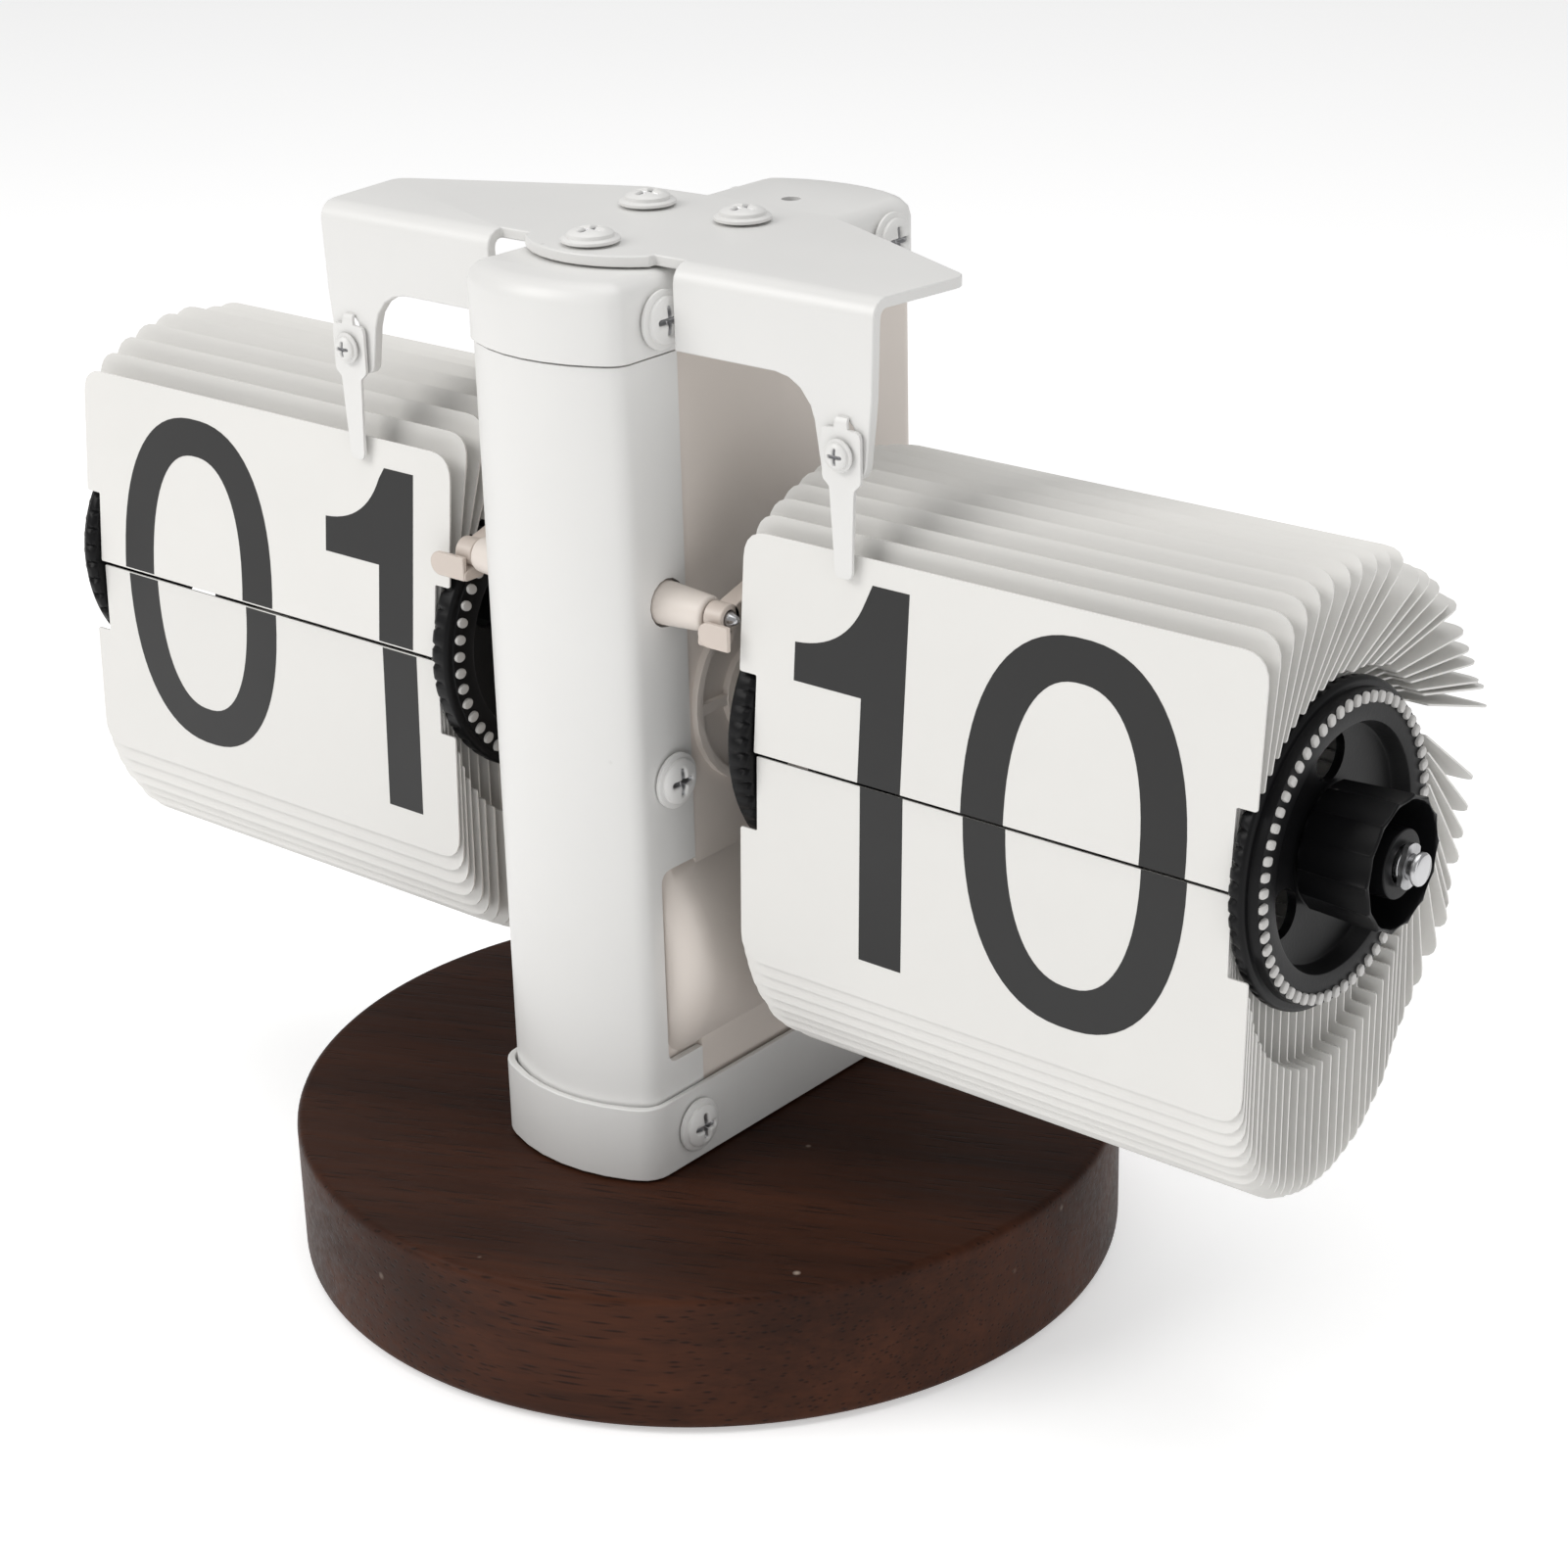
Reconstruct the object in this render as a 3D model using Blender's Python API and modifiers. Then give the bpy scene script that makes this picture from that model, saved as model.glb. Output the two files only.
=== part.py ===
"""Desk flip clock: two drums of hinged number cards on a slim column over a round wooden base.

The frame is metres, +Z up, with the origin at the middle of the underside.  The cards face -Y,
the minute drum and its setting knob are at +X, and both drums turn on one line along X.
"""
import math

import bmesh
import bpy
from mathutils import Matrix, Vector

MM = 0.001
GAP = 0.3 * MM            # air left between two pieces that touch
RUNNING = 0.15 * MM       # radial play of a shaft in its bearing

# wooden base and the pad under it
BASE_RADIUS = 57.6 * MM
BASE_TOP = 20.0 * MM
BASE_EDGE = 1.2 * MM
PAD_INSET = 8.0 * MM      # from the rim of the base to the pad's
PAD_HEIGHT = 1.6 * MM
PAD_PROUD = 0.6 * MM

# column in plan: straight sides, front and rear bowed outwards
COLUMN_HALF = 12.6 * MM
COLUMN_FRONT = -25.3 * MM
COLUMN_REAR = 32.0 * MM
COLUMN_BOW = 4.0 * MM
COLUMN_CORNER = 2.8 * MM
SHELL_WALL = 1.0 * MM
SHELL_REAR = -15.2 * MM   # rear edge of the front shell
HOUSING_WALL = 1.5 * MM
BOOT_WALL = 0.8 * MM
BOOT_FLOOR = 1.0 * MM
BOOT_HEIGHT = 10.9 * MM   # above the base
CAP_SEAM = 131.4 * MM
CAP_TOP = 141.2 * MM
CAP_WALL = 1.2 * MM
CAP_PROUD = 0.3 * MM
CAP_EDGE = 2.6 * MM

# drums and cards
AXLE_Y = -2.1 * MM
AXLE_Z = 83.2 * MM
AXLE_RADIUS = 2.0 * MM
AXLE_NECK = 1.5 * MM      # radius in the groove for the clip
CARD_INNER = 25.2 * MM    # |x| of the card edge near the column
CARD_WIDTH = 74.4 * MM
CARD_HEIGHT = 27.4 * MM   # hinge line to free edge
CARD_HEEL = 0.6 * MM      # hinge line to the short edge behind it
CARD_THICK = 0.3 * MM
CARD_CORNER = 3.4 * MM
NOTCH_WIDTH = 2.7 * MM
NOTCH_HEIGHT = 9.4 * MM
CARD_LEAN = 4.7           # degrees that the front upper card leans back
CARD_LEAD = 0.6 * MM      # the front card hangs this far ahead of the hinge circle
HINGE_RADIUS = 17.9 * MM
MINUTE_CARDS = 60
HOUR_CARDS = 48
WHEEL_RADIUS = 20.0 * MM
WHEEL_FACE = 1.1 * MM     # how far a wheel stands out past the card edge
DRUM_TUBE_RADIUS = 6.5 * MM
DRUM_TUBE_WALL = 1.2 * MM
CARD_FALL = 183.0         # degrees, the front upper card's travel

# gear train: teeth, and the distance of each pair of shafts
MOTOR_TEETH = 8
MINUTE_TEETH = 32
MINUTE_PINION_TEETH = 8
IDLER_TEETH = 48
IDLER_PINION_TEETH = 8
HOUR_TEETH = 64
MOTOR_DISTANCE = 18.0 * MM
IDLER_DISTANCE = 17.0 * MM
MOTOR_ANGLE = -15.0       # degrees, seen from +X, from +Y towards +Z
IDLER_ANGLE = 50.0
GEAR_WIDTH = 2.0 * MM
MINUTE_GEAR_X = 5.6 * MM
IDLER_GEAR_X = 2.2 * MM
HOUR_GEAR_X = -5.0 * MM
SHAFT_RADIUS = 1.0 * MM
PLATE_THICK = 1.4 * MM
END_RADIUS = 1.0 * MM     # thin inner end of each drum axle
PINION_STEM = 0.4 * MM    # how far the minute pinion runs into its gear

# setting knob and clips
KNOB_RADIUS = 8.5 * MM
KNOB_SUNK = 1.8 * MM       # how far the knob stands in the outer wheel
KNOB_LENGTH = 9.4 * MM
KNOB_FLUTES = 14
KNOB_WALL = 0.8 * MM
HUB_RADIUS = 4.2 * MM
CLIP_RADIUS = 3.1 * MM
CLIP_THICK = 0.6 * MM
AXLE_STUB = 2.6 * MM       # axle end past the knob
HOUR_STUB = 4.5 * MM       # the other axle end past its outer wheel

# battery across the foot of the column
BATTERY_RADIUS = 16.5 * MM
BATTERY_LENGTH = 60.5 * MM
BATTERY_Z = 49.5 * MM
BATTERY_FRONT = -17.4 * MM
TUNNEL_WALL = 1.0 * MM
TUNNEL_NOSE = 4.2 * MM    # radius of the rounded front end
SPRING_ROOM = 2.5 * MM    # between the battery and the end of the tunnel

# sheet-metal bracket on top
SHEET = 1.4 * MM
BEND = 2.4 * MM           # outer radius of the bend
PLATE_TOP = CAP_TOP + GAP + SHEET
FLANGE_FRONT = -18.7 * MM
FLANGE_INNER = COLUMN_HALF + 2.8 * MM
FLANGE_LOW = 132.2 * MM
ARM_END = 46.0 * MM
ARM_TIP = 47.6 * MM
ARM_TIP_Y = -3.0 * MM
LEG_X = 41.5 * MM
LEG_HALF = 3.5 * MM
LEG_LOW = 120.6 * MM
REED_SCREW_Z = 124.0 * MM
REED_THICK = 0.5 * MM
REED_ADJUST = 1.2 * MM    # the reed slides this far up and down in its slot
REED_CLEAR = 0.3 * MM     # from the reed's tip to the card that swings below it

# screws: flange, head and shank radii
SCREW_FLANGE = 3.7 * MM
SCREW_HEAD = 2.9 * MM
SCREW_RISE = 1.8 * MM
SCREW_SHANK = 1.4 * MM
SMALL_SCREW = 2.05 * MM
SMALL_SHANK = 0.9 * MM

# card catch beside each drum
CATCH_Y = -18.7 * MM
CATCH_Z = 99.4 * MM
POST_RADIUS = 2.9 * MM
POST_END = CARD_INNER - 5.4 * MM
PIN_RADIUS = 1.0 * MM
PIN_END = CARD_INNER - 0.8 * MM

SCREW_HOLE = SCREW_SHANK + GAP
MINUTE_SHOULDER = MINUTE_GEAR_X + PINION_STEM + GAP    # |x| where an axle gets thin
HOUR_SHOULDER = -HOUR_GEAR_X - GEAR_WIDTH
WHEEL_OUTER_X = CARD_INNER + CARD_WIDTH + WHEEL_FACE
KNOB_START = WHEEL_OUTER_X - KNOB_SUNK
KNOB_END = KNOB_START + KNOB_LENGTH
AXLE_END = KNOB_END + AXLE_STUB
HOUR_AXLE_END = WHEEL_OUTER_X + HOUR_STUB
WHEEL_BACK_X = CARD_INNER + CARD_WIDTH - NOTCH_WIDTH + GAP
BOOT_TOP = BASE_TOP + BOOT_HEIGHT
BOOT_OUT = GAP + BOOT_WALL
COLUMN_FOOT = BASE_TOP + 2 * GAP + BOOT_FLOOR
TUNNEL_BORE = BATTERY_RADIUS + GAP
TUNNEL_RADIUS = TUNNEL_BORE + TUNNEL_WALL
BATTERY_REAR = BATTERY_FRONT + BATTERY_LENGTH
TUNNEL_REAR = BATTERY_REAR + 2.0 * MM
INNER_HALF = COLUMN_HALF - SHELL_WALL - GAP    # housing where the shell wraps it
OUTER_HALF = COLUMN_HALF - GAP                 # housing behind the shell
CAVITY_HALF = INNER_HALF - HOUSING_WALL


# ---------------------------------------------------------------- scene and materials

def clear_scene():
    """Remove what the scene holds, so that it has this object only."""
    for item in list(bpy.data.objects):
        bpy.data.objects.remove(item, do_unlink=True)


def new_collection(name):
    """Make a collection under the scene's own."""
    made = bpy.data.collections.new(name)
    bpy.context.scene.collection.children.link(made)
    return made


def new_material(name, color, roughness, metallic=0.0):
    """Make a Principled material of one colour."""
    made = bpy.data.materials.new(name)
    made.use_nodes = True
    shader = made.node_tree.nodes["Principled BSDF"]
    shader.inputs["Base Color"].default_value = (*color, 1.0)
    shader.inputs["Roughness"].default_value = roughness
    shader.inputs["Metallic"].default_value = metallic
    return made


clear_scene()
PARTS = new_collection("flip_clock")
CUTTERS = new_collection("cutters")
WALNUT = new_material("walnut", (0.045, 0.020, 0.012), 0.5)
PAINT = new_material("white_paint", (0.72, 0.72, 0.70), 0.35)
PLASTIC = new_material("white_plastic", (0.70, 0.66, 0.62), 0.4)
BLACK = new_material("black_plastic", (0.012, 0.012, 0.013), 0.35)
CARD = new_material("card_stock", (0.76, 0.75, 0.73), 0.55)
STEEL = new_material("steel", (0.55, 0.55, 0.56), 0.3, 1.0)
NYLON = new_material("nylon", (0.78, 0.76, 0.70), 0.45)
FELT = new_material("felt", (0.03, 0.03, 0.03), 0.9)
JACKET = new_material("battery_jacket", (0.05, 0.12, 0.10), 0.3)
LEAF = new_material("catch_plastic", (0.52, 0.45, 0.40), 0.4)


# ---------------------------------------------------------------- shapes

ALONG_X = Matrix.Rotation(math.radians(90), 4, "Y")
ALONG_MINUS_X = Matrix.Rotation(math.radians(-90), 4, "Y")
ALONG_Y = Matrix.Rotation(math.radians(-90), 4, "X")
ALONG_MINUS_Y = Matrix.Rotation(math.radians(90), 4, "X")
UPRIGHT = Matrix.Identity(4)
DOWNWARD = Matrix.Rotation(math.radians(180), 4, "X")
SIDE_VIEW = Matrix.Rotation(math.radians(90), 4, "Z") @ Matrix.Rotation(math.radians(90), 4, "X")


def add_object(name, data, collection, matrix=UPRIGHT):
    """Link an object for the data and place it."""
    made = bpy.data.objects.new(name, data)
    collection.objects.link(made)
    made.matrix_world = matrix
    return made


def finish(piece, material, smooth=True):
    """Give a piece its material and its shading."""
    piece.data.materials.clear()
    piece.data.materials.append(material)
    if smooth:
        piece.data.shade_smooth()
        piece.data.set_sharp_from_angle(angle=math.radians(35))
    return piece


def as_cutter(piece):
    """Hide a shape that only cuts or joins another."""
    if piece.name in PARTS.objects:
        PARTS.objects.unlink(piece)
    if piece.name not in CUTTERS.objects:
        CUTTERS.objects.link(piece)
    piece.hide_render = True
    piece.display_type = "WIRE"
    return piece


def place(x, y, z, turn=UPRIGHT):
    """A matrix that turns a shape and then moves it."""
    return Matrix.Translation((x, y, z)) @ turn


def slab(name, outlines, low, high, turn=UPRIGHT, origin=(0.0, 0.0, 0.0), edge=0.0):
    """Extrude flat outlines from low to high along the turned local Z; inner ones are holes.

    edge rounds both rims with that radius and keeps the outline's size.
    """
    curve = bpy.data.curves.new(name, "CURVE")
    curve.dimensions = "2D"
    curve.fill_mode = "BOTH"
    curve.extrude = (high - low) / 2 - edge
    curve.bevel_depth = edge
    curve.bevel_resolution = 2
    curve.offset = -edge
    for outline in outlines:
        spline = curve.splines.new("POLY")
        spline.points.add(len(outline) - 1)
        for point, (across, up) in zip(spline.points, outline):
            point.co = (across, up, 0.0, 1.0)
        spline.use_cyclic_u = True
    shape = add_object(name, curve, PARTS)
    bpy.context.view_layer.update()
    evaluated = shape.evaluated_get(bpy.context.evaluated_depsgraph_get())
    mesh = bpy.data.meshes.new_from_object(evaluated)
    bpy.data.objects.remove(shape, do_unlink=True)
    bpy.data.curves.remove(curve)
    work = bmesh.new()
    work.from_mesh(mesh)
    bmesh.ops.remove_doubles(work, verts=work.verts, dist=0.00001)
    bmesh.ops.translate(work, verts=work.verts, vec=(0.0, 0.0, (low + high) / 2))
    bmesh.ops.transform(work, matrix=turn, verts=work.verts)
    work.to_mesh(mesh)
    work.free()
    mesh.name = name
    return add_object(name, mesh, PARTS, place(*origin))


def turned(name, profile, turn=UPRIGHT, origin=(0.0, 0.0, 0.0), segments=32, ring=False):
    """Turn a profile of (radius, height) points about local Z.

    The profile runs down its outer side from top to bottom; a ring's profile closes on itself.
    """
    mesh = bpy.data.meshes.new(name)
    count = len(profile)
    edges = [(i, i + 1) for i in range(count - 1)]
    if ring:
        edges.append((count - 1, 0))
    mesh.from_pydata([(radius, 0.0, height) for radius, height in profile], edges, [])
    shape = add_object(name, mesh, PARTS, place(*origin, turn))
    screw = shape.modifiers.new("turn", "SCREW")
    screw.steps = segments
    screw.render_steps = segments
    screw.use_merge_vertices = True
    screw.merge_threshold = 0.00001
    return shape


def rod(name, radius, low, high, turn, origin, segments=24, chamfer=0.0):
    """A round bar from low to high along the turned local Z."""
    top = [(0.0, high), (radius - chamfer, high)]
    if chamfer:
        top.append((radius, high - chamfer))
    return turned(name, top + [(radius, low), (0.0, low)], turn, origin, segments)


def block(name, low, high):
    """A box between two corners."""
    bpy.ops.mesh.primitive_cube_add(size=1.0)
    made = bpy.context.object
    made.name = name
    middle = (Vector(low) + Vector(high)) / 2
    size = Vector(high) - Vector(low)
    made.data.transform(Matrix.Translation(middle) @ Matrix.Diagonal((*size, 1.0)))
    for holder in list(made.users_collection):
        holder.objects.unlink(made)
    PARTS.objects.link(made)
    return made


def boolean(target, tool, operation, solver="EXACT"):
    """Cut, join or intersect the target with a hidden tool."""
    as_cutter(tool)
    step = target.modifiers.new(tool.name, "BOOLEAN")
    step.operation = operation
    step.object = tool
    step.solver = solver
    return target


def cut(target, *tools, solver="EXACT"):
    """Take each tool away from the target."""
    for tool in tools:
        boolean(target, tool, "DIFFERENCE", solver)
    return target


def join(target, *tools):
    """Add each tool to the target."""
    for tool in tools:
        boolean(target, tool, "UNION")
    return target


# ---------------------------------------------------------------- outlines

def circle(radius, count, centre=(0.0, 0.0)):
    """Points round a circle."""
    angles = [2 * math.pi * i / count for i in range(count)]
    return [(centre[0] + radius * math.cos(a), centre[1] + radius * math.sin(a)) for a in angles]


def bow(start, end, rise, count):
    """Points of the arc that rises to the right of the way from start to end."""
    start = Vector(start)
    end = Vector(end)
    half = (end - start).length / 2
    radius = (half * half + rise * rise) / (2 * rise)
    along = (end - start).normalized()
    out = Vector((along.y, -along.x))
    centre = (start + end) / 2 - out * (radius - rise)
    sweep = math.asin(half / radius)
    points = []
    for i in range(count + 1):
        angle = -sweep + 2 * sweep * i / count
        points.append(tuple(centre + along * radius * math.sin(angle) + out * radius * math.cos(angle)))
    return points


def rounded(points, radii, steps=4, closed=True):
    """Replace corners by arcs; radii maps a point's index to its radius."""
    out = []
    count = len(points)
    for i, point in enumerate(points):
        radius = radii.get(i, 0.0)
        if not radius or (not closed and i in (0, count - 1)):
            out.append(tuple(point))
            continue
        corner = Vector(point)
        before = (Vector(points[i - 1]) - corner).normalized()
        after = (Vector(points[(i + 1) % count]) - corner).normalized()
        half = before.angle(after) / 2
        reach = radius / math.tan(half)
        centre = corner + (before + after).normalized() * (radius / math.sin(half))
        first = corner + before * reach - centre
        last = corner + after * reach - centre
        turn = first.angle_signed(last)
        for k in range(steps + 1):
            angle = -turn * k / steps
            cos, sin = math.cos(angle), math.sin(angle)
            out.append((centre.x + first.x * cos - first.y * sin, centre.y + first.x * sin + first.y * cos))
    return out


def bowed_end(half, y, rise, corner, toward):
    """Points round one bowed end of the column, from +X to -X for the rear, -X to +X for the front."""
    side = half if toward > 0 else -half
    reach = y - toward * 3 * corner
    arc = bow((side, y), (-side, y), rise, 8)
    path = [(side, reach)] + arc + [(-side, reach)]
    return rounded(path, {1: corner, len(path) - 2: corner}, closed=False)


def column_outline(grow, half=COLUMN_HALF):
    """The column in plan, grown outwards all round."""
    corner = COLUMN_CORNER + grow
    rear = bowed_end(half + grow, COLUMN_REAR + grow, COLUMN_BOW, corner, 1)
    front = bowed_end(half + grow, COLUMN_FRONT - grow, COLUMN_BOW, corner, -1)
    return rear + front


def gear_outline(teeth, module, pinion, turn=0.0):
    """Straight-flanked teeth, a little slimmer than their gaps, with a tooth centred on turn."""
    root_share, rise, depth, tip_share = (0.42, 0.9, 1.2, 0.20) if pinion else (0.52, 0.8, 1.15, 0.18)
    pitch = math.pi * module
    root = teeth * module / 2 - depth * module
    tip = teeth * module / 2 + rise * module
    points = []
    for i in range(teeth):
        middle = turn + 2 * math.pi * i / teeth
        for radius, share, side in ((root, root_share, -1), (tip, tip_share, -1),
                                    (tip, tip_share, 1), (root, root_share, 1)):
            angle = middle + side * share * pitch / 2 / radius
            points.append((radius * math.cos(angle), radius * math.sin(angle)))
    return points


def on_circle(centre, distance, degrees):
    """A point at a distance and an angle from a centre, in the Y-Z plane."""
    angle = math.radians(degrees)
    return centre[0] + distance * math.cos(angle), centre[1] + distance * math.sin(angle)


AXLE = (AXLE_Y, AXLE_Z)
MOTOR = on_circle(AXLE, MOTOR_DISTANCE, MOTOR_ANGLE)
IDLER = on_circle(AXLE, IDLER_DISTANCE, IDLER_ANGLE)


# ---------------------------------------------------------------- fasteners

def screw(name, x, y, z, turn, length, flange=SCREW_FLANGE, head=SCREW_HEAD, shank=SCREW_SHANK,
          rise=SCREW_RISE):
    """A domed screw whose seat is at the point and whose head faces local +Z."""
    profile = [(0.0, rise), (0.65 * head, 0.82 * rise), (head, 0.4 * rise), (flange, 0.36 * rise),
               (flange, 0.0), (shank, 0.0), (shank, -length), (0.0, -length)]
    return finish(turned(name, profile, turn, (x, y, z), segments=10), PAINT)


def drill(name, radius, low, high, turn, origin, segments=16):
    """A round cutter."""
    return rod(name, radius, low, high, turn, origin, segments)


BOOT_SCREW = (-18.2 * MM, BASE_TOP + 5.7 * MM)
SHELL_SCREW = (-18.9 * MM, 75.5 * MM)
CAP_SCREW = (-18.5 * MM, 135.8 * MM)
REAR_SCREW = (26.8 * MM, 136.6 * MM)
TOP_SCREW_X = COLUMN_HALF - 4.6 * MM
TOP_SCREWS = {"front": (0.0, -16.2 * MM), "left": (-TOP_SCREW_X, 3.3 * MM), "right": (TOP_SCREW_X, 3.3 * MM)}
CAP_HOLE_Y = 22.5 * MM
BOLT_Y = 4.0 * MM
BOLT_SHANK = 2.2 * MM
BOLT_HEAD = 4.2 * MM
BOLT_SEAT = 7.0 * MM
SIDE_SCREW_INSIDE = CAVITY_HALF - 1.0 * MM


def side_drill(name, spot, radius):
    """A cutter along X through both sides of the column."""
    reach = 20.0 * MM
    return drill(name, radius, -reach, reach, ALONG_X, (0.0, *spot))


def side_screws(name, spot, seat):
    """One screw on each side of the column, seated at |x| = seat."""
    length = seat - SIDE_SCREW_INSIDE
    screw(f"{name}_left", -seat, *spot, ALONG_MINUS_X, length)
    screw(f"{name}_right", seat, *spot, ALONG_X, length)


def build_screws():
    """The fasteners that show, and the bolt under the base."""
    side_screws("boot_screw", BOOT_SCREW, COLUMN_HALF + BOOT_OUT + GAP)
    side_screws("shell_screw", SHELL_SCREW, COLUMN_HALF + GAP)
    side_screws("cap_screw", CAP_SCREW, COLUMN_HALF + CAP_PROUD + GAP)
    side_screws("rear_screw", REAR_SCREW, COLUMN_HALF + CAP_PROUD + GAP)
    for side, (x, y) in TOP_SCREWS.items():
        screw(f"bracket_screw_{side}", x, y, PLATE_TOP + GAP, UPRIGHT, 6.0 * MM)
    screw("base_bolt", 0.0, BOLT_Y, BOLT_SEAT, DOWNWARD, BASE_TOP + 6.0 * MM - BOLT_SEAT,
          BOLT_HEAD, 0.8 * BOLT_HEAD, BOLT_SHANK, 2.5 * MM).data.materials[0] = STEEL


# ---------------------------------------------------------------- base and column

def build_base():
    """Round wooden base with a recess for its pad and the bolt's counterbore."""
    middle = (0.0, 0.0, 0.0)
    base = rod("base", BASE_RADIUS, PAD_PROUD, BASE_TOP, UPRIGHT, middle, segments=64)
    edge = base.modifiers.new("edge", "BEVEL")
    edge.width = BASE_EDGE
    edge.segments = 2
    edge.limit_method = "ANGLE"
    edge.angle_limit = math.radians(50)
    pad_radius = BASE_RADIUS - PAD_INSET
    cut(base, drill("pad_recess", pad_radius + GAP, -MM, PAD_HEIGHT + GAP, UPRIGHT, middle, 48))
    finish(rod("base_pad", pad_radius, 0.0, PAD_HEIGHT, UPRIGHT, middle, 48), FELT)
    spot = (0.0, BOLT_Y, 0.0)
    cut(base, drill("bolt_counterbore", BOLT_HEAD + GAP, -MM, BOLT_SEAT + GAP, UPRIGHT, spot))
    cut(base, drill("bolt_hole", BOLT_SHANK + GAP, MM, BASE_TOP + MM, UPRIGHT, spot))
    finish(base, WALNUT)


def build_boot():
    """Sheet-metal cup that holds the foot of the column."""
    low = BASE_TOP + GAP
    boot = slab("boot_collar", [column_outline(BOOT_OUT)], low, BOOT_TOP)
    hollow = slab("boot_hollow", [column_outline(GAP)], low + BOOT_FLOOR, BOOT_TOP + MM)
    hole = drill("boot_bolt_hole", BOLT_SHANK + GAP, low - MM, low + 2 * MM, UPRIGHT, (0.0, BOLT_Y, 0.0))
    cut(boot, hollow, hole, side_drill("boot_screw_hole", BOOT_SCREW, SCREW_HOLE))
    finish(boot, PAINT)


def side_slot(name, low_y, high_y, low_z, high_z, corner):
    """A cutter with rounded corners through both sides of the column."""
    ring = rounded([(low_y, low_z), (high_y, low_z), (high_y, high_z), (low_y, high_z)],
                   {i: corner for i in range(4)})
    reach = 20.0 * MM
    return slab(name, [ring], -reach, reach, SIDE_VIEW)


def build_shell():
    """U-shaped front shell, open to the rear, notched where the battery tunnel comes out."""
    half, wall = COLUMN_HALF, SHELL_WALL
    outer = bowed_end(half, COLUMN_FRONT, COLUMN_BOW, COLUMN_CORNER, -1)
    inner = bowed_end(half - wall, COLUMN_FRONT + wall, COLUMN_BOW, COLUMN_CORNER - wall, -1)
    outer[0], outer[-1] = (-half, SHELL_REAR), (half, SHELL_REAR)
    inner[0], inner[-1] = (-half + wall, SHELL_REAR), (half - wall, SHELL_REAR)
    shell = slab("front_shell", [outer + inner[::-1]], COLUMN_FOOT, CAP_SEAM - GAP)
    chord = math.sqrt(TUNNEL_RADIUS ** 2 - (half - wall) ** 2) + GAP
    notch = side_slot("tunnel_notch", BATTERY_FRONT - TUNNEL_NOSE - GAP, SHELL_REAR + 9 * MM,
                      BATTERY_Z - chord, BATTERY_Z + chord, 1.6 * MM)
    cut(shell, notch, side_drill("shell_boot_hole", BOOT_SCREW, SCREW_HOLE),
        side_drill("shell_screw_hole", SHELL_SCREW, SCREW_HOLE),
        side_drill("catch_post_hole", (CATCH_Y, CATCH_Z), POST_RADIUS + GAP))
    finish(shell, PAINT)


def u_wall(name, half, front, rear, wall, low, high):
    """An upright wall, open to the front, round the rear of the column."""
    outer = bowed_end(half, rear, COLUMN_BOW, COLUMN_CORNER, 1)
    inner = bowed_end(half - wall, rear - wall, COLUMN_BOW, COLUMN_CORNER - wall, 1)
    outer[0], outer[-1] = (half, front), (-half, front)
    inner[0], inner[-1] = (half - wall, front), (-half + wall, front)
    return slab(name, [outer + inner[::-1]], low, high)


def bearing_boss(side):
    """Ring, ribs and hub moulded on the side of the housing, round the axle."""
    name = "left" if side < 0 else "right"
    turn = ALONG_X if side > 0 else ALONG_MINUS_X
    low, high = OUTER_HALF - 0.6 * MM, OUTER_HALF + MM
    ring = turned(f"bearing_ring_{name}", [(12.6 * MM, high), (12.6 * MM, low), (11.4 * MM, low),
                  (11.4 * MM, high)], turn, (0.0, *AXLE), 32, ring=True)
    hub = rod(f"bearing_hub_{name}", 6.4 * MM, low, high, turn, (0.0, *AXLE), 24)
    ends = sorted((side * low, side * (high - 0.2 * MM)))
    arms = []
    for way, (dy, dz) in {"rib": (12.0 * MM, 0.7 * MM), "post": (0.7 * MM, 12.0 * MM)}.items():
        arms.append(block(f"bearing_{way}_{name}", (ends[0], AXLE_Y - dy, AXLE_Z - dz),
                          (ends[1], AXLE_Y + dy, AXLE_Z + dz)))
    return [ring, hub, *arms]


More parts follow.
